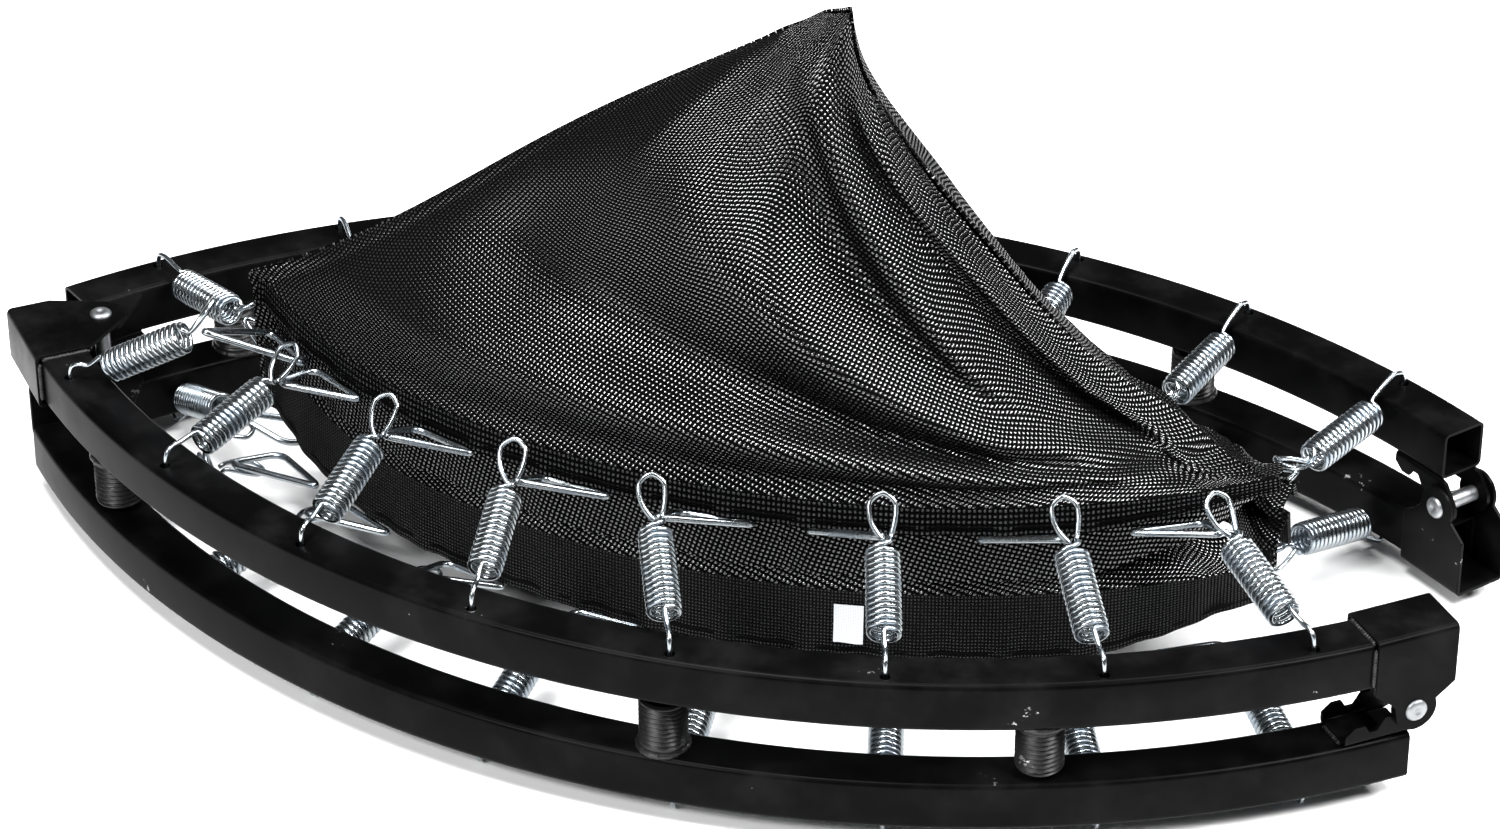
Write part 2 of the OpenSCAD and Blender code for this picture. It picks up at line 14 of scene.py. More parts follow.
import bpy
import numpy as np
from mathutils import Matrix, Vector


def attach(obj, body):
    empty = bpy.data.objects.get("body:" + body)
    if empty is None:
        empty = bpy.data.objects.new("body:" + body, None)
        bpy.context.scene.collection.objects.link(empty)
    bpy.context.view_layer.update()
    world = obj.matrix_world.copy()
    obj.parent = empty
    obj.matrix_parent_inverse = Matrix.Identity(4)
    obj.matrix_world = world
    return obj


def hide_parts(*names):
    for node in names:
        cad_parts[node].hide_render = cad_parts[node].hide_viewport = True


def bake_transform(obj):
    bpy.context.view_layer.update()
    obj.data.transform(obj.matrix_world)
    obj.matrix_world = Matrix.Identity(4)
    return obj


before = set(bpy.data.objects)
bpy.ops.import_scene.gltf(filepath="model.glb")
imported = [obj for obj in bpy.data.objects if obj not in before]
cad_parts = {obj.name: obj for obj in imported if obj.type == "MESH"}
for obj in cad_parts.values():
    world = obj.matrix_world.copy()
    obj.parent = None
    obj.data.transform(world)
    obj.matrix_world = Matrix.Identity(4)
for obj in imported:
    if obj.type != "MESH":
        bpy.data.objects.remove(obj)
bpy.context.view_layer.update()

LOG = logging.getLogger("trampoline")
MM = 0.001
TAU = 2 * math.pi


# ------------------------------------------------------------------ measures


class Layer(Enum):
    """Layer of tube: the bottom one lies upside down."""

    TOP = 1
    BOTTOM = -1


class Side(Enum):
    """Side of the folded lens."""

    FRONT = -1
    BACK = 1


@dataclass(frozen=True)
class Quarter:
    """One quarter of the ring."""

    layer: Layer
    side: Side

    @property
    def name(self) -> str:
        """Name as the frame's nodes have it."""
        return f"{self.layer.name}_{self.side.name}".lower()

    @property
    def body(self) -> str:
        """Body of the frame that the quarter belongs to."""
        return f"{self.side.name.lower()}_quarters"

    @property
    def has_channel(self) -> bool:
        """Whether the quarter carries the corner channel and the fold sleeve."""
        return self.layer.value * self.side.value < 0


QUARTERS = tuple(Quarter(layer, side) for layer in Layer for side in Side)


def turn(degrees: float) -> np.ndarray:
    """Matrix of a turn about z.

    Args:
        degrees: angle of the turn.

    Returns:
        A 4 by 4 matrix.
    """
    matrix = np.eye(4)
    c, s = math.cos(math.radians(degrees)), math.sin(math.radians(degrees))
    matrix[:2, :2] = [[c, -s], [s, c]]
    return matrix


def shift(x: float, y: float, z: float) -> np.ndarray:
    """Matrix of a move.

    Args:
        x, y, z: way along each axis.

    Returns:
        A 4 by 4 matrix.
    """
    matrix = np.eye(4)
    matrix[:3, 3] = (x, y, z)
    return matrix


def axes(x: tuple, y: tuple, z: tuple) -> np.ndarray:
    """Matrix that lays a drawing another way.

    Args:
        x, y, z: directions that the drawing's axes take.

    Returns:
        A 4 by 4 matrix.
    """
    matrix = np.eye(4)
    matrix[:3, :3] = np.array([x, y, z], float).T
    return matrix


@dataclass(frozen=True)
class Ring:
    """Sizes of the ring in millimetres."""

    r_out: float = 508.0
    tube: float = 25.0
    wall: float = 1.5
    corner: float = 3.0
    gap: float = 29.5
    fold_open: float = 5.625
    plate: float = 2.0
    clearance: float = 0.3
    pin_inset: float = 15.0
    hook_offset: float = 6.0
    springs: int = 8
    stand: float = 10.3
    shift_x: float = 35.2508

    @property
    def r_in(self) -> float:
        """Radius of the tube's inner face."""
        return self.r_out - self.tube

    @property
    def r_mid(self) -> float:
        """Radius of the tube's middle."""
        return self.r_out - self.tube / 2

    @property
    def r_pin(self) -> float:
        """Radius of the corner pin."""
        return self.r_in - self.pin_inset

    @property
    def r_hook(self) -> float:
        """Radius of the hook holes."""
        return self.r_mid + self.hook_offset

    @property
    def r_wrap(self) -> float:
        """Radius of the outer face of a plate that wraps the tube."""
        return self.r_out + self.clearance + self.plate

    @property
    def z_low(self) -> float:
        """Height of the tube's face at the gap."""
        return self.gap / 2

    @property
    def z_mid(self) -> float:
        """Height of the tube's middle."""
        return self.z_low + self.tube / 2

    @property
    def z_high(self) -> float:
        """Height of the tube's face away from the gap."""
        return self.z_low + self.tube

    @property
    def z_wrap(self) -> float:
        """Height of the outer face of a plate that wraps the tube."""
        return self.z_high + self.clearance + self.plate

    @property
    def quarter_turn(self) -> float:
        """Angle between the lens's middle and a quarter's ends."""
        return 45 + self.fold_open

    @property
    def centre_y(self) -> float:
        """Distance of a quarter's centre from the lens's middle plane."""
        return self.r_pin * math.cos(math.radians(self.quarter_turn))

    @property
    def origin(self) -> np.ndarray:
        """Matrix from the middle of the gap to the part's own frame."""
        return shift(self.shift_x, 0, self.z_high + self.stand)

    def place(self, quarter: Quarter) -> np.ndarray:
        """Matrix from a quarter's own frame to the part's frame."""
        mirror = np.diag([1, -quarter.side.value, quarter.layer.value, 1]).astype(float)
        return self.origin @ mirror @ shift(0, self.centre_y, 0) @ turn(-90 - self.quarter_turn)

    def hook_angle(self, index: int) -> float:
        """Angle of a hook hole."""
        return (index + 0.5) * 90 / self.springs


RING = Ring()


# ------------------------------------------------------------------ shapes


def grid_faces(rows: int, cols: int, wrap_rows: bool = False, wrap_cols: bool = False) -> np.ndarray:
    """Four-sided faces between the points of a grid that is stored row by row.

    Args:
        rows: count of rows.
        cols: count of points in a row.
        wrap_rows: whether the last row joins the first.
        wrap_cols: whether the last column joins the first.

    Returns:
        An array of four point numbers a face.
    """
    i = np.arange(rows if wrap_rows else rows - 1)[:, None]
    j = np.arange(cols if wrap_cols else cols - 1)[None, :]
    near, far = i * cols, (i + 1) % rows * cols
    right = (j + 1) % cols
    return np.stack(np.broadcast_arrays(near + j, far + j, far + right, near + right), -1).reshape(-1, 4)


@dataclass
class Shape:
    """Points, faces and texture coordinates of closed surfaces, in millimetres."""

    points: np.ndarray
    faces: list
    uv: np.ndarray | None = None

    def moved(self, matrix: np.ndarray) -> "Shape":
        """The same shape after a matrix."""
        return Shape(self.points @ matrix[:3, :3].T + matrix[:3, 3], self.faces, self.uv)

    def volume(self) -> float:
        """Sum of the signed volumes between the origin and each face's fan of triangles.

        Returns:
            Six times the volume, below 0 where the faces look inward.
        """
        total = 0.0
        for block in self.faces:
            corners = self.points[np.atleast_2d(block)]
            first = corners[:, :1]
            cross = np.cross(corners[:, 1:-1], corners[:, 2:])
            total += float(np.einsum("ijk,ijk->", np.broadcast_to(first, cross.shape), cross))
        return total

    def outward(self) -> "Shape":
        """The same shape with its faces turned outward."""
        flipped = [np.atleast_2d(block)[:, ::-1] for block in self.faces]
        return self if self.volume() >= 0 else Shape(self.points, flipped, self.uv)


def joined(shapes: list[Shape]) -> Shape:
    """One shape of several, each turned outward by itself.

    Args:
        shapes: the shapes, all of them with texture coordinates or none.

    Returns:
        The shape that holds them all.
    """
    shapes = [shape.outward() for shape in shapes]
    starts = np.cumsum([0] + [len(shape.points) for shape in shapes[:-1]])
    faces = [np.atleast_2d(block) + start for shape, start in zip(shapes, starts) for block in shape.faces]
    uv = None if shapes[0].uv is None else np.concatenate([shape.uv for shape in shapes])
    return Shape(np.concatenate([shape.points for shape in shapes]), faces, uv)


def placed(name: str, data: bpy.types.ID | None) -> bpy.types.Object:
    """Puts a new object into the scene.

    Args:
        name: name of the object.
        data: its mesh, light or camera.

    Returns:
        The object.
    """
    thing = bpy.data.objects.new(name, data)
    bpy.context.scene.collection.objects.link(thing)
    return thing


def shaded(mesh: bpy.types.Mesh, sharp: float) -> None:
    """Smooths a mesh except at edges with a wider angle than the given one, in degrees."""
    mesh.shade_smooth()
    mesh.set_sharp_from_angle(angle=math.radians(sharp))


def build(name: str, shape: Shape, sharp: float = 40.0) -> bpy.types.Object:
    """Puts a shape into the scene.

    Args:
        name: name of the object.
        shape: the shape in millimetres, in the part's frame.
        sharp: edges with a wider angle than this stay sharp, in degrees.

    Returns:
        The new object.
    """
    shape = shape.outward()
    mesh = bpy.data.meshes.new(name)
    mesh.from_pydata((shape.points * MM).tolist(), [], [face for block in shape.faces for face in block.tolist()])
    if shape.uv is not None:
        corners = np.zeros(len(mesh.loops), np.int32)
        mesh.loops.foreach_get("vertex_index", corners)
        mesh.uv_layers.new(name="UVMap").data.foreach_set("uv", shape.uv[corners].astype(np.float32).ravel())
    shaded(mesh, sharp)
    return placed(name, mesh)


def applied(piece: bpy.types.Object) -> None:
    """Makes the result of a piece's modifiers its mesh.

    Args:
        piece: the piece.
    """
    graph = bpy.context.evaluated_depsgraph_get()
    mesh = bpy.data.meshes.new_from_object(piece.evaluated_get(graph), depsgraph=graph)
    mesh.name = piece.name
    piece.modifiers.clear()
    piece.data = mesh


def carved(piece: bpy.types.Object, cutter: Shape, operation: str = "DIFFERENCE") -> None:
    """Cuts a piece with a shape, or keeps only what lies inside it.

    Args:
        piece: the piece.
        cutter: the shape in the piece's frame.
        operation: DIFFERENCE or INTERSECT.
    """
    tool = build("cutter", cutter)
    modifier = piece.modifiers.new("cut", "BOOLEAN")
    modifier.operation, modifier.solver, modifier.object = operation, "EXACT", tool
    applied(piece)
    bpy.data.objects.remove(tool)


def rounded(piece: bpy.types.Object, width: float, segments: int = 3, sharp: float = 35.0) -> None:
    """Rounds the sharp edges of a piece.

    Args:
        piece: the piece.
        width: width of the rounding in millimetres.
        segments: count of faces across it.
        sharp: edges with a wider angle than this are rounded, in degrees.
    """
    modifier = piece.modifiers.new("round", "BEVEL")
    modifier.width, modifier.segments = width * MM, segments
    modifier.limit_method, modifier.angle_limit = "ANGLE", math.radians(sharp)
    modifier.harden_normals = True
    applied(piece)


def prism(outline: np.ndarray, low: float, high: float) -> Shape:
    """A flat outline drawn up along z: walls between its two copies, and a face at each end.

    Args:
        outline: points in x and y.
        low: height of the first copy.
        high: height of the second copy.

    Returns:
        The closed shape.
    """
    count = len(outline)
    points = np.concatenate([np.column_stack([outline, np.full(count, z)]) for z in (low, high)])
    ends = [np.arange(count)[None, :], np.arange(count)[None, ::-1] + count]
    return Shape(points, [grid_faces(2, count, wrap_cols=True), *ends]).outward()


def revolve(profile: list, sides: int = 32) -> Shape:
    """A profile turned about z: each of its points goes round on its own circle.

    Args:
        profile: radius and height of each point; one that starts off the axis closes on itself.
        sides: count of points on a circle.

    Returns:
        The turned shape.
    """
    profile = np.array(profile, float)
    angle = np.arange(sides) * TAU / sides
    r, z = profile[:, 0][:, None], profile[:, 1][:, None]
    points = np.stack([r * np.cos(angle), r * np.sin(angle), np.broadcast_to(z, (len(profile), sides))], -1)
    faces = [grid_faces(len(profile), sides, wrap_rows=profile[0, 0] > 0.01, wrap_cols=True)]
    return Shape(points.reshape(-1, 3), faces).outward()


def carried_frames(path: np.ndarray, closed: bool) -> tuple[np.ndarray, np.ndarray]:
    """Two cross directions at each station of a path, each turned on from the last one by as little as possible.

    Args:
        path: the stations.
        closed: whether the last station joins the first; what is missing there is then shared out evenly.

    Returns:
        The two directions at each station.
    """
    if closed:
        tangent = np.roll(path, -1, 0) - np.roll(path, 1, 0)
    else:
        tangent = np.gradient(path, axis=0)
    tangent /= np.linalg.norm(tangent, axis=1)[:, None]
    start = np.cross(tangent[0], np.roll(np.eye(3)[np.argmin(abs(tangent[0]))], 0))

    def onward(normal: np.ndarray, t: np.ndarray) -> np.ndarray:
        """The last normal, made square to the next tangent."""
        normal = normal - (normal @ t) * t
        return normal / np.linalg.norm(normal)

    normal = np.array(list(accumulate(tangent, onward, initial=start / np.linalg.norm(start)))[1:])
    if closed:
        across = np.cross(tangent[0], normal[0])
        miss = math.atan2(normal[-1] @ across, normal[-1] @ normal[0])
        back = -miss * np.arange(len(path)) / len(path)
        normal = normal * np.cos(back)[:, None] + np.cross(tangent, normal) * np.sin(back)[:, None]
    return normal, np.cross(tangent, normal)


def wire(path: np.ndarray, radius: float | np.ndarray, sides: int = 10, closed: bool = False) -> Shape:
    """A round wire along a path: at each station a circle in the plane square to the path.

    Args:
        path: stations of the wire's middle line.
        radius: radius of the wire, or one for each station.
        sides: points round the wire.
        closed: whether the wire's end joins its start.

    Returns:
        The wire as a closed shape.
    """
    normal, across = carried_frames(path, closed)
    angle = np.arange(sides) * TAU / sides
    size = np.broadcast_to(radius, len(path))[:, None, None]
    points = path[:, None] + size * (
        normal[:, None] * np.cos(angle)[None, :, None] + across[:, None] * np.sin(angle)[None, :, None]
    )
    faces = [grid_faces(len(path), sides, wrap_rows=closed, wrap_cols=True)]
    if not closed:
        faces += [np.arange(sides)[None, :], np.arange(sides)[None, ::-1] + (len(path) - 1) * sides]
    return Shape(points.reshape(-1, 3), faces).outward()


def smooth(points: np.ndarray, steps: int = 6) -> np.ndarray:
    """A smooth curve through points: cubic pieces whose slope at a point is half the way between its neighbours.

    Args:
        points: the points.
        steps: count of stations from one point to the next.

    Returns:
        The stations.
    """
    p = np.vstack([2 * points[0] - points[1], points, 2 * points[-1] - points[-2]])
    t = np.linspace(0, 1, steps, endpoint=False)[None, :, None]
    a, b, c, d = p[:-3, None], p[1:-2, None], p[2:-1, None], p[3:, None]
    curve = 0.5 * (2 * b + (c - a) * t + (2 * a - 5 * b + 4 * c - d) * t**2 + (3 * b - a - 3 * c + d) * t**3)
    return np.vstack([curve.reshape(-1, 3), points[-1]])


def arc(centre: tuple, radius: float, start: float, end: float, steps: int = 10) -> np.ndarray:
    """Points on a flat arc from one angle in degrees to another."""
    angle = np.radians(np.linspace(start, end, steps + 1))
    return np.column_stack([centre[0] + radius * np.cos(angle), centre[1] + radius * np.sin(angle)])


def smoothstep(x: np.ndarray) -> np.ndarray:
    """0 below 0, 1 above 1, and a soft ramp between."""
    x = np.clip(x, 0, 1)
    return x * x * (3 - 2 * x)


def bell(x: np.ndarray) -> np.ndarray:
    """1 at 0, falling off to both sides: e to the power of minus the square."""
    return np.exp(-(x**2))


# ------------------------------------------------------------------ finishes


Socket = bpy.types.NodeSocket


class Graph:
    """Short hand for building a node tree."""

    def __init__(self, tree: bpy.types.NodeTree) -> None:
        """Keeps the tree that nodes are added to."""
        self.tree = tree

    def fill(self, node: bpy.types.Node, values: dict) -> bpy.types.Node:
        """Sets inputs of a node to values, or links them to sockets.

        Args:
            node: the node.
            values: name or number of an input to its value or socket.

        Returns:
            The same node.
        """
        for key, value in values.items():
            if isinstance(value, Socket):
                self.tree.links.new(value, node.inputs[key])
            else:
                node.inputs[key].default_value = value
        return node

    def add(self, kind: str, values: dict | None = None, **settings: object) -> bpy.types.Node:
        """Adds a node, sets its properties, and fills its inputs.

        Args:
            kind: class of the node without ShaderNode.
            values: name or number of an input to its value or socket.
            settings: properties of the node.

        Returns:
            The node.
        """
        node = self.tree.nodes.new(kind if kind.startswith("NodeGroup") else f"ShaderNode{kind}")
        for key, value in settings.items():
            setattr(node, key, value)
        return self.fill(node, values or {})

    def math(self, operation: str, *values: float | Socket) -> Socket:
        """Result of a math node."""
        return self.add("Math", dict(enumerate(values)), operation=operation).outputs[0]

    def noise(self, place: Socket, scale: float | Socket, detail: float, roughness: float = 0.5) -> Socket:
        """Result of a noise."""
        values = {"Vector": place, "Scale": scale, "Detail": detail, "Roughness": roughness}
        return self.add("TexNoise", values).outputs[0]

    def ramp(self, value: Socket, low: float, high: float, to: tuple = (0.0, 1.0)) -> Socket:
        """A value led smoothly from one range to another."""
        values = {"Value": value, "From Min": low, "From Max": high, "To Min": to[0], "To Max": to[1]}
        return self.add("MapRange", values, interpolation_type="SMOOTHSTEP").outputs["Result"]

    def mix(self, factor: Socket, first: tuple | Socket, second: tuple | Socket) -> Socket:
        """Colour between two colours or colour sockets."""
        return self.add("Mix", {"Factor": factor, 6: first, 7: second}, data_type="RGBA").outputs[2]


def group(name: str, inputs: dict, outputs: tuple) -> tuple:
    """A new shader node group.

    Args:
        name: name of the group.
        inputs: name of each input to its value; a value of None is a vector.
        outputs: names of the outputs, which are plain values.

    Returns:
        The group, its graph, its inputs' node and its outputs' node.
    """
    tree = bpy.data.node_groups.new(name, "ShaderNodeTree")
    for key, value in inputs.items():
        kind = "NodeSocketVector" if value is None else "NodeSocketFloat"
        socket = tree.interface.new_socket(key, in_out="INPUT", socket_type=kind)
        if value is not None:
            socket.default_value = value
    for key in outputs:
        tree.interface.new_socket(key, in_out="OUTPUT", socket_type="NodeSocketFloat")
    graph = Graph(tree)
    return tree, graph, graph.add("NodeGroupInput"), graph.add("NodeGroupOutput")


def speckle_group() -> bpy.types.NodeTree:
    """Fine orange peel of a sprayed coat, soft wear and small chips, from noises of three sizes.

    Returns:
        The group.
    """
    inputs = {"Place": None, "Grain": 900.0, "Chips": 0.7}
    tree, graph, source, sink = group("speckle", inputs, ("Peel", "Wear", "Chip"))
    place, chips = source.outputs["Place"], source.outputs["Chips"]
    fine = graph.noise(place, source.outputs["Grain"], 2.0)
    broad = graph.noise(place, 24.0, 5.0, 0.6)
    small = graph.noise(place, 260.0, 4.0, 0.7)
    where = graph.math("MULTIPLY", small, graph.ramp(broad, 0.45, 0.75))
    chip = graph.add("MapRange", {"Value": where, "From Min": chips, "From Max": graph.math("ADD", chips, 0.04)})
    graph.fill(sink, {"Peel": fine, "Wear": graph.ramp(broad, 0.4, 0.75), "Chip": chip.outputs["Result"]})
    return tree


def weave_group() -> bpy.types.NodeTree:
    """Plain weave of round threads, with its height, the holes between four threads and the crowns of threads.

    A thread's height is the root of 1 less the square of the way from its middle. Warp and weft take turns on
    top from one crossing to the next, as the sign of sin(u) times sin(v) does.

    Returns:
        The group.
    """
    tree, graph, source, sink = group("weave", {"Place": None, "Pitch": 0.0024}, ("Height", "Gap", "Shade"))
    split = graph.add("SeparateXYZ", {0: source.outputs["Place"]})
    u, v = (graph.math("DIVIDE", split.outputs[axis], source.outputs["Pitch"]) for axis in (0, 1))

    def across(x: Socket) -> Socket:
        """Way from the middle of the thread, from 0 to 1."""
        part = graph.math("MULTIPLY", graph.math("FRACT", x), 2.0)
        return graph.math("ABSOLUTE", graph.math("SUBTRACT", part, 1.0))

    def bulge(x: Socket) -> Socket:
        """Height of a round thread."""
        rest = graph.math("SUBTRACT", 1.0, graph.math("POWER", x, 2.0))
        return graph.math("SQRT", graph.math("MAXIMUM", rest, 0.0))

    wave_u, wave_v = (graph.math("SINE", graph.math("MULTIPLY", x, math.pi)) for x in (u, v))
    lift = graph.math("MULTIPLY", graph.math("MULTIPLY", wave_u, wave_v), 0.8)
    du, dv = across(u), across(v)
    warp, weft = graph.math("ADD", bulge(du), lift), graph.math("SUBTRACT", bulge(dv), lift)
    height = graph.math("MAXIMUM", warp, weft)
    # Gap marks the holes, which the cloths paint dark as painted shade; Shade marks the crowns, which are glossy and
    # painted paler as a painted highlight
    hole = graph.math("MULTIPLY", graph.ramp(du, 0.62, 0.9), graph.ramp(dv, 0.62, 0.9))
    graph.fill(sink, {"Height": height, "Gap": hole, "Shade": graph.ramp(height, 1.25, 1.75)})
    return tree


@dataclass(frozen=True)
class Finish:
    """A surface finish: what every material here has in common."""

    name: str
    colour: tuple
    roughness: float
    metallic: float = 0.0
    specular: float = 0.5

    def material(self) -> bpy.types.Material:
        """Makes the material once and returns it from then on.

        Returns:
            The material.
        """
        made = bpy.data.materials.get(self.name)
        if made:
            return made
        made = bpy.data.materials.new(self.name)
        made.use_nodes = True
        made.diffuse_color = (*self.colour, 1)
        shader = next(node for node in made.node_tree.nodes if node.type == "BSDF_PRINCIPLED")
        graph = Graph(made.node_tree)
        graph.fill(shader, {
            "Base Color": (*self.colour, 1), "Roughness": self.roughness, "Metallic": self.metallic,
            "Specular IOR Level": self.specular,
        })
        self.detail(graph, shader)
        return made

    def detail(self, graph: Graph, shader: bpy.types.Node) -> None:
        """Adds the pattern of the finish: none on a plain one."""

    def bump(self, graph: Graph, height: Socket, strength: float, depth: float) -> Socket:
        """Normal that a height of a given strength and depth in metres gives."""
        return graph.add("Bump", {"Height": height, "Strength": strength, "Distance": depth}).outputs[0]


@dataclass(frozen=True)
class CoatFinish(Finish):
    """Satin powder coat with orange peel, duller worn patches and a few chips to the metal."""

    chips: float = 0.5
    bare: tuple = (0.32, 0.32, 0.33)
    wear: float = 0.1

    def detail(self, graph: Graph, shader: bpy.types.Node) -> None:
        """Adds the coat's pattern: worn patches are paler and rougher, and chips show the metal.

        Args:
            graph: the material's graph.
            shader: its shader.
        """
        tree = bpy.data.node_groups.get("speckle") or speckle_group()
        place = graph.add("TexCoord").outputs["Object"]
        effect = graph.add("Group", {"Place": place, "Chips": self.chips}, node_tree=tree)
        peel, wear, chip = (effect.outputs[key] for key in ("Peel", "Wear", "Chip"))
        dull = tuple(c * 1.6 + 0.004 for c in self.colour)
        worn = graph.mix(wear, (*self.colour, 1), (*dull, 1))
        graph.fill(shader, {
            "Base Color": graph.mix(chip, worn, (*self.bare, 1)),
            "Roughness": graph.ramp(wear, 0.0, 1.0, (self.roughness, self.roughness + self.wear)),
            "Metallic": chip,
            "Normal": self.bump(graph, peel, 0.12, 0.0002),
        })


@dataclass(frozen=True)
class ZincFinish(Finish):
    """Bright zinc plate with faint tinted clouds and drawing marks."""

    tint: tuple = (0.3, 0.345, 0.39)
    wear: float = 0.12

    def detail(self, graph: Graph, shader: bpy.types.Node) -> None:
        """Adds the plate's pattern: clouds are tinted and duller.

        Args:
            graph: the material's graph.
            shader: its shader.
        """
        place = graph.add("TexCoord").outputs["Object"]
        cloud, fine = graph.noise(place, 70.0, 4.0), graph.noise(place, 1500.0, 2.0)
        graph.fill(shader, {
            "Base Color": graph.mix(graph.ramp(cloud, 0.4, 0.68), (*self.colour, 1), (*self.tint, 1)),
            "Roughness": graph.ramp(cloud, 0.35, 0.7, (self.roughness, self.roughness + self.wear)),
            "Normal": self.bump(graph, fine, 0.05, 0.0001),
        })


@dataclass(frozen=True)
class WeaveFinish(Finish):
    """Woven cloth: the weave lies in the cloth's own flat measures, in metres."""

    pitch: float = 0.0024
    strength: float = 0.7
    depth: float = 0.0005
    shine: float = 1.0
    # Painted highlight: colour of the threads' crowns, paler than the cloth
    thread: tuple = (0.0025, 0.0025, 0.0026)
    # Painted shade: colour of the holes between threads
    hole: tuple = (0.001, 0.001, 0.001)

    def detail(self, graph: Graph, shader: bpy.types.Node) -> None:
        """Adds the weave: crowns of threads are glossy and painted paler as a painted highlight, and holes are
        painted dark as painted shade.

        Args:
            graph: the material's graph.
            shader: its shader.
        """
        tree = bpy.data.node_groups.get("weave") or weave_group()
        place = graph.add("TexCoord").outputs["UV"]
        effect = graph.add("Group", {"Place": place, "Pitch": self.pitch}, node_tree=tree)
        height, gap, shade = (effect.outputs[key] for key in ("Height", "Gap", "Shade"))
        # Painted highlight: the crowns get the paler thread colour
        crown_painted_highlight = graph.mix(shade, (*self.colour, 1), (*self.thread, 1))
        normal = self.bump(graph, height, self.strength, self.depth)
        # Painted shade: the holes between threads get the dark hole colour
        graph.fill(shader, {
            "Base Color": graph.mix(gap, crown_painted_highlight, (*self.hole, 1)),
            "Coat Weight": graph.math("MULTIPLY", shade, self.shine),
            "Coat Roughness": 0.22,
            "Coat IOR": 2.6,
            "Normal": normal,
            "Coat Normal": normal,
        })


BLACK_COAT = CoatFinish("satin_coat", (0.0011, 0.0011, 0.0012), 0.3, specular=0.035)
BOLT_BLACK = CoatFinish("thread_black", (0.006, 0.006, 0.0062), 0.36, specular=0.3, chips=0.4)
ZINC = ZincFinish("zinc_plate", (0.4, 0.43, 0.445), 0.18, metallic=1.0)
STEEL_RIVET = ZincFinish("rivet_steel", (0.34, 0.35, 0.36), 0.36, metallic=1.0, tint=(0.26, 0.27, 0.28))
# Cloths: thread is the painted highlight colour of the crowns, and hole is the painted shade colour between threads
NET = WeaveFinish("net_weave", (0.001, 0.001, 0.0011), 0.85, specular=0.02)
NET_HEM = WeaveFinish("net_hem", (0.001, 0.001, 0.0011), 0.85, specular=0.02, shine=0.4)
WEBBING = WeaveFinish("hem_webbing", (0.002, 0.002, 0.0021), 0.8, specular=0.05, pitch=0.0017, strength=0.6,
                      depth=0.0004, thread=(0.003, 0.003, 0.0031), shine=0.2)
TAG_CLOTH = WeaveFinish("tag_cloth", (0.7, 0.72, 0.75), 0.7, pitch=0.0008, strength=0.2, depth=0.0001,
                        thread=(0.78, 0.8, 0.82), shine=0.1)
FLOOR_WHITE = Finish("floor_white", (0.95, 0.95, 0.95), 0.9, specular=0.05)


@dataclass
class Assembly:
    """A group of pieces that share how they are put into the frame."""

    ring: Ring = RING
    made: list = field(default_factory=list)

    def dress(self, piece: bpy.types.Object, finish: Finish, body: str | None, slot: str, *nodes: str) -> None:
        """Gives a piece its finish and its place in the frame.

        Args:
            piece: the piece.
            finish: its finish.
            body: the body that it rides on, if any.
            slot: name of its material slot; not used.
            nodes: the frame's nodes that it stands for.
        """
        piece.data.materials.clear()
        piece.data.materials.append(finish.material())
        if body:
            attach(piece, body)
        if nodes:
            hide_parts(*nodes)
        self.made.append(piece)
        LOG.info("%s: %d faces", piece.name, len(piece.data.polygons))


# ------------------------------------------------------------------ ring


def rounded_square(side: float, corner: float, steps: int = 6) -> np.ndarray:
    """Outline of a square with round corners: four quarter circles, corner by corner.

    Args:
        side: side of the square.
        corner: radius of its corners.
        steps: count of sides of a corner.

    Returns:
        The outline's points.
    """
    half = side / 2 - corner
    corners = ((half, half, 0), (-half, half, 90), (-half, -half, 180), (half, -half, 270))
    return np.vstack([arc((x, y), corner, start, start + 90, steps) for x, y, start in corners])


@dataclass
class QuarterTubes(Assembly):
    """The four curved square tubes with their hook holes."""

    steps: int = 110
    hole: float = 2.5
    sharp: float = 30.0

    def shape(self) -> Shape:
        """A hollow tube: the outer and the inner outline are turned about z, and rings of faces close both ends.

        Returns:
            The tube without its holes.
        """
        ring = self.ring
        gap = math.degrees(ring.clearance / ring.r_mid)
        angle = np.radians(np.linspace(gap, 90 - gap, self.steps + 1))[:, None]
        outlines = (rounded_square(ring.tube, ring.corner),
                    rounded_square(ring.tube - 2 * ring.wall, ring.corner - ring.wall))
        walls = []
        for outline in outlines:
            r, z = (outline + (ring.r_mid, ring.z_mid)).T
            walls.append(np.stack(np.broadcast_arrays(np.cos(angle) * r, np.sin(angle) * r, z), -1).reshape(-1, 3))
        rows, count, inner = len(angle), len(outlines[0]), len(walls[0])
        faces = grid_faces(rows, count, wrap_cols=True)
        j = np.arange(count)
        k = (j + 1) % count
        start = np.column_stack([j, k, k + inner, j + inner])
        return Shape(np.vstack(walls), [faces, faces[:, ::-1] + inner, start, start[:, ::-1] + (rows - 1) * count])

    def holes(self) -> Shape:
        """Round cutters at the hook holes.

        Returns:
            The cutters as one shape.
        """
        low, high = self.ring.z_high - 3, self.ring.z_high + 2
        one = revolve([(0.001, low), (self.hole, low), (self.hole, high), (0.001, high)], 20)
        at_hook = shift(self.ring.r_hook, 0, 0)
        return joined([one.moved(turn(self.ring.hook_angle(i)) @ at_hook) for i in range(self.ring.springs)])

    def build(self) -> None:
        """Builds the tubes."""
        for quarter in QUARTERS:
            place = self.ring.place(quarter)
            tube = build(f"tube.{quarter.name}", self.shape().moved(place), self.sharp)
            carved(tube, self.holes().moved(place))
            shaded(tube.data, self.sharp)
            self.dress(tube, BLACK_COAT, quarter.body, "black_coat", f"tube_{quarter.name}")


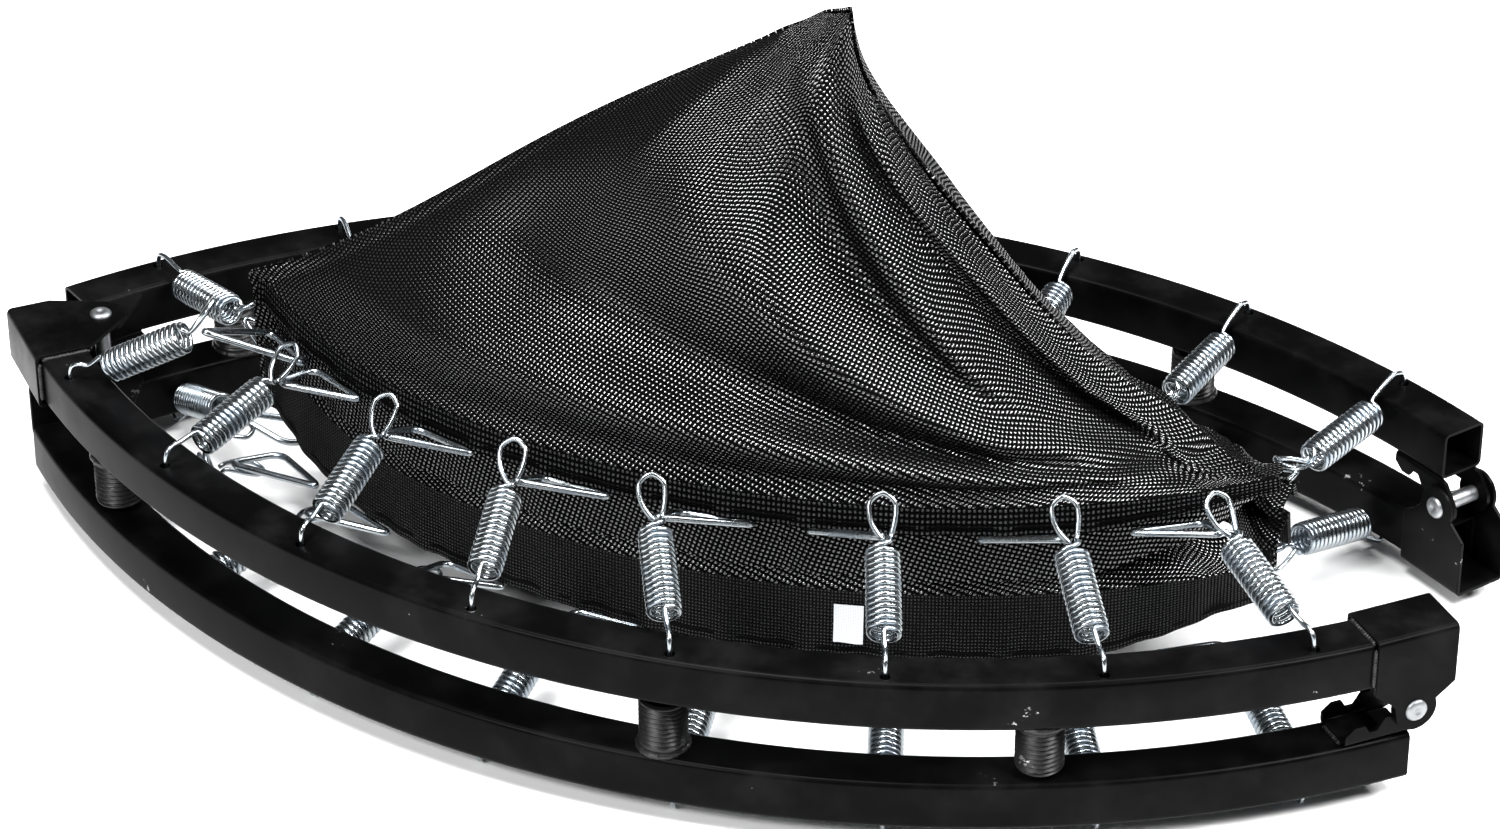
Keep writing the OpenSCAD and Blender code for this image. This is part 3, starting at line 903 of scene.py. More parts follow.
def bent_section(width: float, depth: float, plate: float, bend: float = 3.0) -> np.ndarray:
    """Outline of a sheet bent to a U, its web's outer face at y = 0 and its two flanges down to y = -depth.

    Args:
        width: width over both flanges.
        depth: height of the flanges.
        plate: thickness of the sheet.
        bend: outer radius of the bends.

    Returns:
        The outline's points.
    """
    half = width / 2
    inner = max(bend - plate, 0.4)
    middle = half - plate - inner
    return np.vstack([
        [(-half, -depth)], arc((-half + bend, -bend), bend, 180, 90, 5), arc((half - bend, -bend), bend, 90, 0, 5),
        [(half, -depth), (half - plate, -depth)],
        arc((middle, -plate - inner), inner, 0, 90, 4), arc((-middle, -plate - inner), inner, 90, 180, 4),
        [(-half + plate, -depth)],
    ])


# How the section of a corner piece and of a fold piece lies, and how the outline of a fold piece lies
CORNER_LAY = axes((0, 0, 1), (1, 0, 0), (0, 1, 0))
FOLD_LAY = axes((1, 0, 0), (0, 0, 1), (0, -1, 0))
FOLD_CUT = axes((0, 1, 0), (0, 0, 1), (1, 0, 0))


@dataclass
class HingeParts(Assembly):
    """Sheet metal of the corner and fold hinges, their rivets and washers, and the welds."""

    bore: float = 4.05
    flange: float = 60.0
    tight_bend: float = 2.6
    corner_reach: tuple = (5, 50)
    fold_reach: tuple = (470, 520)
    sleeve_in: float = 2.8
    washer_spans: tuple = ((482.3, 483.1), (506.76, 508.2))

    def bent(self, name: str, section: np.ndarray, span: tuple, lay: np.ndarray, trim: Shape) -> bpy.types.Object:
        """A sheet bent to a U and trimmed to an outline: the space that two drawn-out outlines have in common.

        Args:
            name: name of the piece.
            section: outline of the U.
            span: where the U starts and ends along the tube.
            lay: matrix that lays the drawn-out U.
            trim: the drawn-out outline that the sheet is trimmed to.

        Returns:
            The piece in the frame of its quarter.
        """
        piece = build(name, prism(section, *span).moved(lay))
        carved(piece, trim, "INTERSECT")
        rounded(piece, 0.45, 2)
        return piece

    def corner_channel(self, name: str) -> bpy.types.Object:
        """Channel that wraps the tube's end and reaches inward round the corner pin.

        Args:
            name: name of the piece.

        Returns:
            The piece in the frame of its quarter.
        """
        ring = self.ring
        start, end, web, nose = -24, 28, ring.r_wrap, 13.0
        outline = np.vstack([
            [(web + 1, start), (web + 1, end), (ring.r_in - 1, end)], arc((ring.r_pin, 0), nose, 112, 248, 20),
            [(ring.r_in + 5, start)],
        ])
        section = bent_section(ring.tube + 2 * (ring.clearance + ring.plate), self.flange, ring.plate)
        lay = shift(web, 0, ring.z_mid) @ CORNER_LAY
        return self.bent(name, section, (start, end), lay, prism(outline, *self.corner_reach))

    def corner_tongue(self, name: str) -> bpy.types.Object:
        """Tongue on the tube's inner face whose two ears turn between the channel's plates.

        Args:
            name: name of the piece.

        Returns:
            The piece in the frame of its quarter.
        """
        ring = self.ring
        face, end, nose, room = ring.r_in - 0.91, 28, 12.0, 0.2
        outline = np.vstack([
            [(face + 1, 1), (face + 1, end), (face - 6, end)], arc((ring.r_pin, 0), nose, 150, 300, 20),
            [(ring.r_pin + 8, -3)],
        ])
        section = bent_section(ring.tube, self.flange, ring.plate, self.tight_bend)
        lay = shift(face, 0, ring.z_mid) @ CORNER_LAY
        piece = self.bent(name, section, (-16, end), lay, prism(outline, *self.corner_reach))
        window = np.array([(face - 8, -20), (face + 5, -20), (face + 5, 0.8), (face - 8, 0.8)])
        carved(piece, prism(window, ring.z_low + ring.plate + room, ring.z_high - ring.plate - room))
        return piece

    def fold_sleeve(self, name: str) -> bpy.types.Object:
        """Sleeve over the tube's end with a cheek on each side that reaches down to the fold pin.

        Args:
            name: name of the piece.

        Returns:
            The piece in the frame of its quarter, turned to its corner end.
        """
        ring = self.ring
        low, high, top = ring.r_in - self.sleeve_in, ring.r_wrap, ring.z_wrap
        outline = np.vstack([
            [(-22, top + 1), (20, top + 1), (20, 11)], arc((0, 0), 11, 20, -150, 24),
            [(-11, 3.5), (-16, 8.5), (-22, ring.z_low - ring.plate)],
        ])
        section = bent_section(high - low, self.flange, ring.plate)
        lay = shift((low + high) / 2, 0, top) @ FOLD_LAY
        return self.bent(name, section, (-20, 22), lay, prism(outline, *self.fold_reach).moved(FOLD_CUT))

    def fold_tongue(self, name: str) -> bpy.types.Object:
        """Bracket under the tube's end with two ears round the fold pin.

        Args:
            name: name of the piece.

        Returns:
            The piece in the frame of its quarter, turned to its corner end.
        """
        ring = self.ring
        low, high, foot = ring.r_in + 0.2, ring.r_out - 1.34, ring.z_low + 0.6
        notch = [(-34, 9), (-29, 5), (-24, 5), (-21.5, 9), (-17.5, 9), (-13.5, 3)]
        outline = np.vstack([[(-34, foot)], notch, arc((0, 0), 10, 163, 380, 26), [(2, 13.2), (-4, foot)]])
        section = bent_section(high - low, self.flange, ring.plate, self.tight_bend)
        lay = shift((low + high) / 2, 0, ring.z_low) @ FOLD_LAY
        piece = self.bent(name, section, (-12, 34), lay, prism(outline, *self.fold_reach).moved(FOLD_CUT))
        window = prism(np.array([(-12, -20), (20, -20), (20, 20), (-12, 20)]), low + ring.plate, high - ring.plate)
        carved(piece, window.moved(FOLD_CUT))
        return piece

    def rivet(self, length: float) -> Shape:
        """A rivet about z whose two heads are low domes with a small dimple.

        Args:
            length: length between the heads.

        Returns:
            The rivet with its middle at the origin.
        """
        head = [(0.001, 1.3), (1.2, 1.35), (1.9, 1.9), (3.4, 1.95), (4.7, 1.5), (5.4, 0.8), (5.5, 0.0), (4.0, 0.0)]
        top = [(r, length / 2 + z) for r, z in head]
        return revolve(top + [(r, -z) for r, z in reversed(top)], 40)

    def washer(self, start: float, end: float, radius: float = 7.0, ease: float = 0.15) -> Shape:
        """A flat washer about z with eased edges."""
        return revolve([(self.bore, start), (radius - ease, start), (radius, start + ease), (radius, end - ease),
                        (radius - ease, end), (self.bore, end)], 36)

    def weld(self, start: tuple, end: tuple, radius: float) -> Shape:
        """A weld bead along a line: the radius rises from the ends and ripples by a sixth along the way.

        Args:
            start: first end of the line.
            end: other end of the line.
            radius: radius of the bead.

        Returns:
            The bead.
        """
        way = np.linspace(0, 1, 60)
        path = np.array(start) + way[:, None] * (np.array(end) - np.array(start))
        length = float(np.linalg.norm(np.subtract(end, start)))
        ripple = 1 + 0.16 * np.sin(way * length / 1.7 * TAU) * np.cos(way * 9)
        return wire(path, radius * ripple * np.clip(np.sqrt(np.minimum(way, 1 - way) * 14), 0.05, 1), 10)

    def beads(self, quarter: Quarter) -> Shape:
        """Welds of a quarter's hinge plates, each from one point to another with its radius.

        Args:
            quarter: the quarter.

        Returns:
            The beads in the frame of the quarter.
        """
        top = self.ring.z_high
        if quarter.has_channel:
            lines = (((482, 28.4, top), (507, 28.4, top), 1.3), ((508.2, 28.5, 17), (508.2, 28.5, 38), 1.2),
                     ((22.3, 484, top), (22.3, 507, top), 1.3), ((22.3, 508.2, 17), (22.3, 508.2, 38), 1.2))
        else:
            lines = (((482.4, 6, 37.2), (482.4, 27, 37.2), 1.2), ((482.4, 6, 17.3), (482.4, 27, 17.3), 1.2),
                     ((34.6, 487, 14.4), (34.6, 503, 14.4), 1.2))
        return joined([self.weld(*line) for line in lines])

    def pins(self, quarter: Quarter) -> None:
        """Builds the rivets and washers that a quarter carries.

        Args:
            quarter: the quarter.
        """
        ring, place, body = self.ring, self.ring.place(quarter), quarter.body
        level, side = quarter.layer.name.lower(), quarter.side.name.lower()
        across = turn(90) @ axes((0, 0, -1), (0, 1, 0), (1, 0, 0))
        low, high = ring.r_in - self.sleeve_in, ring.r_wrap
        corner = self.rivet(ring.z_wrap - ring.z_low + ring.clearance + ring.plate)
        corner = corner.moved(place @ shift(ring.r_pin, 0, ring.z_mid))
        fold = self.rivet(high - low).moved(place @ across @ shift(0, 0, (low + high) / 2))
        washers = joined([self.washer(*span) for span in self.washer_spans]).moved(place @ across)
        for shape, finish, node in (
            (corner, STEEL_RIVET, f"corner_rivet_{level}"), (fold, STEEL_RIVET, f"fold_rivet_{side}"),
            (washers, ZINC, f"fold_washers_{side}"),
        ):
            self.dress(build(node.replace("_", "."), shape), finish, body, "zinc", node)

    def settle(self, piece: bpy.types.Object, matrix: np.ndarray) -> None:
        """Moves the points of a piece and keeps its faces outward.

        Args:
            piece: the piece in the frame of a quarter.
            matrix: matrix from that frame to the part's frame, in millimetres.
        """
        mesh = piece.data
        points = np.zeros(len(mesh.vertices) * 3)
        mesh.vertices.foreach_get("co", points)
        points = points.reshape(-1, 3) @ matrix[:3, :3].T + matrix[:3, 3] * MM
        mesh.vertices.foreach_set("co", points.ravel())
        if np.linalg.det(matrix[:3, :3]) < 0:
            mesh.flip_normals()
        mesh.update()

    def build(self) -> None:
        """Builds the hinges of both layers."""
        for quarter in QUARTERS:
            place, side, level = self.ring.place(quarter), quarter.side.name.lower(), quarter.layer.name.lower()
            if quarter.has_channel:
                plates = ((self.corner_channel, f"corner_channel_{level}"), (self.fold_sleeve, f"fold_sleeve_{side}"))
            else:
                plates = ((self.corner_tongue, f"corner_tongue_{level}"), (self.fold_tongue, f"fold_tongue_{side}"))
            for method, node in plates:
                piece = method(node.replace("_", "."))
                self.settle(piece, place @ (turn(90) if "fold" in node else np.eye(4)))
                self.dress(piece, BLACK_COAT, quarter.body, "black_coat", node)
            welds = build(f"welds.{quarter.name}", self.beads(quarter).moved(place))
            self.dress(welds, BOLT_BLACK, quarter.body, "black_coat")
            if quarter.has_channel:
                self.pins(quarter)


@dataclass
class LegStuds(Assembly):
    """Threaded pipe stubs under the tubes with the weld round their foot."""

    radius: float = 11.5
    bore: float = 8.5
    height: float = 26.0
    plain: float = 3.0
    pitch: float = 2.5
    depth: float = 1.3
    bead_r: float = 11.6
    pair: tuple = (10, 70)
    single: tuple = (50,)

    def thread(self) -> Shape:
        """A threaded pipe: its outer radius dips by the thread's depth in a triangle wave that climbs with the turn.

        Returns:
            The pipe about z.
        """
        rows, cols = 100, 48
        length = self.height - self.plain
        z = np.linspace(0, length, rows)[:, None]
        angle = np.arange(cols)[None, :] * TAU / cols
        wave = np.abs(((z / self.pitch - angle / TAU) % 1) * 2 - 1)
        fade = smoothstep(z / 1.5) * smoothstep((length - z) / 1.2)
        outer = self.radius - self.depth * (1 - wave) * fade - 0.5 * (1 - smoothstep(z / 0.8))
        radius = np.vstack([outer, np.full((rows, cols), self.bore)])
        height = np.broadcast_to(np.vstack([z, z[::-1]]), radius.shape)
        points = np.stack([radius * np.cos(angle), radius * np.sin(angle), height], -1)
        return Shape(points.reshape(-1, 3), [grid_faces(2 * rows, cols, wrap_rows=True, wrap_cols=True)])

    def collar(self) -> Shape:
        """The plain foot and its weld: a torus whose radius ripples round the stud.

        Returns:
            The two about z.
        """
        steps = 72
        angle, height = np.linspace(0, TAU, steps, endpoint=False), np.full(steps, self.height - 0.6)
        path = np.column_stack([self.bead_r * np.cos(angle), self.bead_r * np.sin(angle), height])
        bead = wire(path, 1.5 + 0.22 * np.sin(angle * 21) * np.cos(angle * 4), 10, closed=True)
        low, high, radius = self.height - self.plain - 0.2, self.height, self.radius - 0.2
        return joined([bead, revolve([(self.bore, low), (radius, low), (radius, high), (self.bore, high)], 48)])

    def build(self) -> None:
        """Builds the studs."""
        one = joined([self.thread(), self.collar()])
        foot = shift(self.ring.r_mid, 0, self.ring.z_low - self.height)
        for quarter in QUARTERS:
            angles = self.pair if quarter.has_channel else self.single
            studs = joined([one.moved(self.ring.place(quarter) @ turn(angle) @ foot) for angle in angles])
            node = f"leg_stud{'s' if len(angles) > 1 else ''}_{quarter.name}"
            self.dress(build(node.replace("_", "."), studs, 25), BOLT_BLACK, quarter.body, "black_coat", node)


# ------------------------------------------------------------------ springs


@dataclass(frozen=True)
class SpringSet:
    """How the springs of one quarter lie: swing away from the radius and rise towards the mat, in degrees."""

    swing: tuple
    tilt: tuple
    edge_z: float
    nest: float = 0.0


SPRINGS = {
    "top_front": SpringSet((-38, 9, 12, 15, 23, 5, 5, 12), (28, 12, 17, 21, 24, 25, 23, 18), 51.95),
    "top_back": SpringSet((-10, -4, 0, 0, 0, 0, -2, -4), (6, 0, -4, -7, -9, -10, -9, -9), 17.95),
    "bottom_back": SpringSet((-4, 0, 2, 2, 2, 2, 2, 0), (-20, -18, -16, -14, -14, -13, -12, -11), 20.05, 2.0),
    "bottom_front": SpringSet((-14, -3, 0, 2, 2, 2, 2, 0), (-12, -16, -16, -14, -14, -13, -12, -11), 20.05, 2.0),
}
# The hook from inside the tube to the coil, and the loop from the coil's end on
HOOK = np.array([(0.95, 0, -5.0), (0.95, 0, -1.0), (1.1, 0, 3.0), (2.6, 0, 6.8), (6.2, 0, 8.2), (11.0, 0, 8.2)])
LOOP = np.array([
    (1.2, -3.4, 5.4), (3.0, -3.6, 3.4), (5.5, -3.9, 2.8), (10, -5.2, 4.8), (15, -6.1, 7.6), (19.6, -5.4, 10.2),
    (22.6, 0, 12), (19.6, 5.4, 10.2), (15, 6.0, 7.6), (10, 4.6, 4.8), (6, 1.9, 2.8), (3.8, -0.2, 1.8), (2, -0.2, 2.4),
])


def tilted(path: np.ndarray, tilt: float, drop: float = 3.0) -> np.ndarray:
    """A spring's path, turned up by its tilt and set down to the axis's height.

    Args:
        path: the path with x along the spring's axis.
        tilt: the tilt in degrees.
        drop: how far the axis lies under the tube's face where it meets the hook hole.

    Returns:
        The path from the hook hole at the tube's face.
    """
    c, s = math.cos(math.radians(tilt)), math.sin(math.radians(tilt))
    x, y, z = path.T
    return np.column_stack([x * c - z * s, y, x * s + z * c - drop])


@dataclass
class Springs(Assembly):
    """Coil springs with a hook at the tube and a drawn-out loop at the mat."""

    wire_d: float = 2.5
    coil_d: float = 17.0
    coil_start: float = 23.0
    coil_len: float = 47.0
    turns: int = 15

    def path(self, tilt: float) -> np.ndarray:
        """The wire's middle line.

        The hook rises out of its hole and turns over to the coil, which leaves half a millimetre between its
        turns and draws in at both ends. The loop is a long teardrop that rises from the coil's end, where its two
        legs pass each other.

        Args:
            tilt: rise of the spring in degrees.

        Returns:
            Stations from the hook hole at the tube's face.
        """
        count = self.turns * 24
        way = np.arange(count + 1) / count
        angle = math.pi / 2 + way * self.turns * TAU
        ease = 1 - 0.1 * (np.exp(-way * self.turns * 2.2) + np.exp(-(1 - way) * self.turns * 2.2))
        radius = (self.coil_d - self.wire_d) / 2 * ease
        coil = tilted(np.column_stack([
            self.coil_start + self.wire_d / 2 + way * (self.coil_len - self.wire_d),
            radius * np.cos(angle), radius * np.sin(angle),
        ]), tilt)
        loop = tilted(LOOP + (self.coil_start + self.coil_len, 0, 0), tilt)
        fine, lead = 7, 4
        first = smooth(np.vstack([HOOK, coil[:2 * lead + 1:lead]]), fine)[:len(HOOK) * fine]
        last = smooth(np.vstack([coil[-2 * lead - 1::lead], loop]), fine)[2 * fine + 1:]
        return np.vstack([first, coil, last])

    def build(self) -> None:
        """Builds the springs of the four quarters."""
        ring = self.ring
        for quarter in QUARTERS:
            rest = SPRINGS[quarter.name]
            shapes = [
                wire(self.path(tilt), self.wire_d / 2, 9).moved(
                    turn(ring.hook_angle(index)) @ shift(ring.r_hook, 0, ring.z_high) @ turn(180 + swing))
                for index, (swing, tilt) in enumerate(zip(rest.swing, rest.tilt))
            ]
            springs = build(f"springs.{quarter.name}", joined(shapes).moved(ring.place(quarter)), 60)
            self.dress(springs, ZINC, quarter.body, "zinc", f"springs_{quarter.name}")


@dataclass
class VRings(Assembly):
    """Triangular rings that hang in the springs' loops and hold the mat's hem."""

    wire_d: float = 3.5
    side: float = 42.0
    seat: float = 77.0
    rim: float = 403.0
    first: float = 9.125
    hang: float = 1.8
    slant: float = 2.6
    loop_w: float = 9.0
    bend: float = 7.0

    def corners(self, index: int, rest: SpringSet, way: int) -> np.ndarray:
        """The ring's corner in the loop and its two corners on the hem's lower edge.

        The corner sinks under the loop's seat, further where a swung spring slants over the ring, and less by as
        much as the ring falls over half the loop's width.

        Args:
            index: number of the spring.
            rest: how the quarter's springs lie.
            way: 1 where the hem rises in the frame of the quarter, and -1 on the bottom layer.

        Returns:
            The three corners.
        """
        ring, swing, tilt = self.ring, rest.swing[index], rest.tilt[index]
        hook = math.radians(ring.hook_angle(index))
        aim = hook + math.pi + math.radians(swing)
        x, _, z = tilted(np.array([[self.seat, 0.0, 0.0]]), tilt)[0]
        seat = np.array([ring.r_hook * math.cos(hook) + x * math.cos(aim),
                         ring.r_hook * math.sin(hook) + x * math.sin(aim), ring.z_high + z])
        out = (self.wire_d / 2 + ring.clearance) * math.sin(math.pi / 4)
        radius, height = self.rim - rest.nest + out, rest.edge_z - way * out
        lean = way * (seat[2] - height) + way * math.tan(math.radians(tilt)) * (math.hypot(seat[0], seat[1]) - radius)
        over = self.slant * abs(math.sin(math.radians(swing)))
        sink = max(0.0, self.hang + over - lean * self.loop_w / (2 * self.side))
        start = math.radians(self.first) if index == 0 else math.atan2(seat[1], seat[0])
        sweep = (1 if index < ring.springs * 0.6 else -1) * math.asin(self.side * 0.92 / radius)
        hem = [(radius * math.cos(a), radius * math.sin(a), height) for a in (start + sweep, start)]
        return np.vstack([seat - (0, 0, way * sink), hem])

    def path(self, corners: np.ndarray, steps: int = 12) -> np.ndarray:
        """A closed triangle with round corners: at each corner a curve of second degree between two points on
        its sides, a bend's length away.

        Args:
            corners: the three corners.
            steps: count of stations at a corner.

        Returns:
            The stations.
        """
        after, before = np.roll(corners, -1, 0) - corners, np.roll(corners, 1, 0) - corners
        start = corners + before / np.linalg.norm(before, axis=1)[:, None] * self.bend
        end = corners + after / np.linalg.norm(after, axis=1)[:, None] * self.bend
        t = np.linspace(0, 1, steps)[None, :, None]
        curve = (1 - t) ** 2 * start[:, None] + 2 * t * (1 - t) * corners[:, None] + t**2 * end[:, None]
        return curve.reshape(-1, 3)

    def build(self) -> None:
        """Builds the rings of the four quarters."""
        for quarter in QUARTERS:
            rest = SPRINGS[quarter.name]
            shapes = [
                wire(self.path(self.corners(index, rest, quarter.layer.value)), self.wire_d / 2, 14, closed=True)
                for index in range(self.ring.springs)
            ]
            rings = build(f"v.rings.{quarter.name}", joined(shapes).moved(self.ring.place(quarter)), 60)
            self.dress(rings, ZINC, quarter.body, "zinc", f"v_rings_{quarter.name}")


# ------------------------------------------------------------------ mat


@dataclass(frozen=True)
class SheetPlan:
    """Sizes of one quarter of the mat as it lies folded, over the middle of the gap."""

    rim_r: float
    rim_z: float
    corner_z: float
    peak_z: float
    sag: float
    hem: float
    apron: float
    folds: float


PLANS = {
    "top_front": SheetPlan(403, 66.75, 79.75, 267.75, 54, 12, 42, 1.0),
    "top_back": SheetPlan(403, 32.75, 79.75, 267.75, 36, 12, 14, 1.2),
    "bottom_back": SheetPlan(401, 16.75, 45.75, 258.75, 36, 34, 36, 0.3),
    "bottom_front": SheetPlan(401, 16.75, 45.75, 258.75, 54, 34, 36, 0.3),
}
# Long folds that fan out from the gathering point: middle angle, spread and height of each
FAN = ((44, 7, -10.0), (27, 8, 16.0), (11, 5, -11.0), (2, 4, 7.0), (-7, 3.5, -5.0))
# Creases along the fold line: way of the middle from it, spread and height of each
CREASES = ((13, 7, 10.0), (31, 9, -8.0), (54, 13, 6.0))


@dataclass
class Mat(Assembly):
    """The slack mat: four sheets of net that meet in a peak, their hems, and the care tag."""

    left: float = -44.0
    right: float = 37.0
    peak_x: float = 26.0
    flat_r: float = 376.0
    thick: float = 1.3
    rows: int = 120
    cols: int = 170
    apron_share: float = 0.13
    gather_v: float = 0.13
    half_gap: float = 0.8
    rim_gap: float = 1.5
    hem_start: float = 0.012

    def angle(self, u: np.ndarray) -> np.ndarray:
        """Angle about the ring's centre at a share u of the rim, from the folded corner to the fold line."""
        return np.radians(self.left + (self.right - self.left) * u)

    def edge(self, u: np.ndarray, plan: SheetPlan) -> np.ndarray:
        """The sheet's rim: an arc about the ring's centre that rises to the folded corner at u = 0.

        Args:
            u: shares of the rim.
            plan: sizes of the sheet.

        Returns:
            A point for each share.
        """
        angle = self.angle(u)
        rise = (plan.corner_z - plan.rim_z) * np.maximum(0, 1 - u / 0.22) ** 2
        y = np.minimum(-self.rim_gap, self.ring.centre_y - plan.rim_r * np.cos(angle))
        return np.stack([plan.rim_r * np.sin(angle), y, plan.rim_z + rise], -1)

    def pushed(self, points: np.ndarray, u: np.ndarray, out: np.ndarray | float) -> None:
        """Moves points away from the ring's centre.

        Args:
            points: the points, which are changed.
            u: share of the rim of each point.
            out: how far each point goes.
        """
        angle = self.angle(u)
        points[..., 0] += np.sin(angle) * out
        points[..., 1] -= np.cos(angle) * out

    def swell(self, u: np.ndarray, v: np.ndarray, width: np.ndarray, roll: np.ndarray, folds: float) -> np.ndarray:
        """How far the sheet stands out of its straight lines.

        A broad bulge, and on it bell curves: long folds over the angle about the gathering point near the right
        end of the rim, creases along the fold line, fine pleats close to the gathering point, and slow waves.

        Args:
            u: share of the rim.
            v: share of the way from the rim to the peak.
            width: width of the sheet at that height.
            roll: 1 inside the sheet, falling to 0 at both its edges.
            folds: strength of the folds.

        Returns:
            The way outward at each point of the grid.
        """
        side, up = (1 - u) * 430 * (1 - 0.35 * v), (v - self.gather_v) * 250
        angle, far = np.degrees(np.arctan2(up, side)), np.sqrt(side**2 + up**2)
        total = 13 * roll * smoothstep(v * 6) * (1 - 0.3 * v)
        grow = smoothstep(far / 170) * smoothstep((1.02 - v) * 2.2) * smoothstep(u * 7) * smoothstep(v * 9)
        for middle, spread, height in FAN:
            total = total + folds * height * bell((angle - middle) / spread) * grow
        for middle, spread, height in CREASES:
            crease = bell(((1 - u) * width - middle) / spread)
            total = total + folds * height * crease * smoothstep(v * 5) * smoothstep((1 - v) * 5)
        near = bell(far / 90) * smoothstep(v * 9)
        total = total + folds * 2.4 * np.cos(np.radians(angle) * 9) * near * roll
        return total + folds * 1.5 * roll * np.sin(u * 31 + v * 7) * np.sin(v * 9 + u * 5) * smoothstep(v * 5)

    def surface(self, plan: SheetPlan) -> tuple[np.ndarray, np.ndarray]:
        """Points of the middle of a sheet and their places in the flat cloth.

        Straight lines run from the rim to the peak, which bends down to a nose at the folded corner's side and to
        a short steep tip at the fold line's. The sheet sags towards the fold line by a parabola, droops at the
        other side by a sine, and swells outward. Near both edges it rolls over with a small radius, and a low
        welt rises along the fold line. Below the rim a pleated apron hangs straight down behind the hem.

        Args:
            plan: sizes of the sheet.

        Returns:
            The points and the places, both row by row from the apron's edge to the peak.
        """
        u = np.linspace(0, 1, self.cols)[None, :]
        way = np.linspace(-self.apron_share, 1, self.rows)[:, None]
        v, below = np.maximum(way, 0), np.maximum(-way, 0) / self.apron_share
        rim = self.edge(u, plan)
        tip = smoothstep((u - 0.4) / 0.6)[..., None]
        nose = smoothstep(1 - u / 0.4)[..., None] * (-12.0, 0, -2.5)
        peak = (self.peak_x, -self.half_gap, plan.peak_z) + nose + tip * (4.0, 0, -46.0) + tip**3 * (11.0, 0, 0)
        points = rim + v[..., None] * (peak - rim)
        points[..., 2] -= plan.sag * u * u * 4 * v * (1 - v) * 0.86
        points[..., 2] -= 9 * (1 - u) ** 3 * np.sin(TAU * v) * (1 - v)

        width = 570 * (1 - v) + 18
        roll = ((1 - np.exp(-u * width / 18)) * (1 - np.exp(-(1 - u) * width / 22))) ** 0.7
        inner = (1 - np.exp(-u * width / 60)) * (1 - np.exp(-(1 - u) * width / 60))
        swell = self.swell(u, v, width, roll, plan.folds)
        end = smoothstep((u - 0.8) / 0.2)
        meet = end * smoothstep((v - 0.02) / 0.3)
        welt = 9 * np.exp(-(1 - u) * width / 24) * smoothstep(v * 3) * smoothstep((1 - v) * 3)
        points[..., 1] = np.minimum(points[..., 1] * (1 - meet) - swell * 0.9, -self.half_gap)
        points[..., 2] += swell * inner * 0.25 - below * plan.apron * (1 - 0.5 * end) + welt

        pleat = 1.1 * np.sin(u * 58 + 2 * np.sin(u * 21)) + 0.5 * np.sin(u * 131)
        self.pushed(points, u, -smoothstep(below * 5) * (3.2 + pleat * below))
        points[..., 1] *= 1 - 0.85 * smoothstep((u - 0.93) / 0.07) * smoothstep(below * 4)
        points[..., 1] = np.minimum(points[..., 1], -self.half_gap)
        return points, self.laid_out(points)

    def laid_out(self, points: np.ndarray, bias: float = 18.0) -> np.ndarray:
        """Places in the cloth: the lengths run along the row and up the column, turned by the weave's bias.

        Args:
            points: points of the sheet, row by row.
            bias: angle between the weave and the rim in degrees.

        Returns:
            A place in metres for each point.
        """
        along = np.cumsum(np.linalg.norm(np.diff(points, axis=1, prepend=points[:, :1]), axis=2), axis=1)
        along -= along[:, self.cols // 2][:, None]
        up = np.cumsum(np.linalg.norm(np.diff(points, axis=0, prepend=points[:1]), axis=2), axis=0)
        c, s = math.cos(math.radians(bias)), math.sin(math.radians(bias))
        return np.stack([along * c - up * s, along * s + up * c], -1) * MM

    def slab(self, points: np.ndarray, uv: np.ndarray, thick: float) -> Shape:
        """A closed sheet about a grid of points, half its thickness to each side along the grid's normals.

        Args:
            points: the grid.
            uv: place of each point in the cloth.
            thick: thickness of the sheet.

        Returns:
            The sheet.
        """
        rows, cols = points.shape[:2]
        normal = np.cross(np.gradient(points, axis=0), np.gradient(points, axis=1))
        normal /= np.maximum(np.linalg.norm(normal, axis=2), 1e-6)[..., None]
        both = np.stack([points + normal * thick / 2, points - normal * thick / 2]).reshape(-1, 3)
        count = rows * cols
        faces = grid_faces(rows, cols)
        number = np.arange(count).reshape(rows, cols)
        rim = np.concatenate([number[0], number[1:, -1], number[-1, -2::-1], number[-2:0:-1, 0]])
        after = np.roll(rim, -1)
        ends = np.column_stack([rim, after, after + count, rim + count])
        return Shape(both, [faces, faces[:, ::-1] + count, ends], np.tile(uv.reshape(-1, 2), (2, 1)))

    def taper(self, u: np.ndarray) -> np.ndarray:
        """Share of the hem's height: it narrows to half towards the fold line."""
        return 1 - 0.5 * smoothstep((u - 0.82) / 0.18)

    def hem(self, plan: SheetPlan) -> Shape:
        """The stitched band at the sheet's rim: it bulges a little in its middle and puckers along its length.

        Args:
            plan: sizes of the sheet.

        Returns:
            The band.
        """
        rows, cols = 14, 240
        u = np.linspace(self.hem_start, 1, cols)[None, :]
        w = np.linspace(0, 1, rows)[:, None]
        points = np.broadcast_to(self.edge(u, plan), (rows, cols, 3)).copy()
        points[..., 2] -= w * (plan.hem + 2.8) * self.taper(u) - 0.4
        self.pushed(points, u, 1.1 * w + (0.45 * np.sin(u * 190) + 0.6 * np.sin(u * 83 + 1)) * w - 0.6)
        uv = np.stack(np.broadcast_arrays(u * 0.57, w * plan.hem * MM), -1)
        return self.slab(points, uv, 2.0)

    def seam(self, plan: SheetPlan) -> Shape:
        """The doubled seam near the hem's lower edge: a low cord that follows the rim.

        Args:
            plan: sizes of the sheet.

        Returns:
            The cord.
        """
        u = np.linspace(self.hem_start, 1, 260)
        path = self.edge(u, plan)
        self.pushed(path, u, 0.9)
        path[:, 2] += 0.2 * np.sin(u * 900) - (plan.hem * self.taper(u) - 2)
        return wire(path, 0.8, 8)

    def lens(self, side: Side) -> np.ndarray:
        """Matrix from the front side's drawing to the given side of the part."""
        return self.ring.origin @ np.diag([1.0, -side.value, 1.0, 1.0])

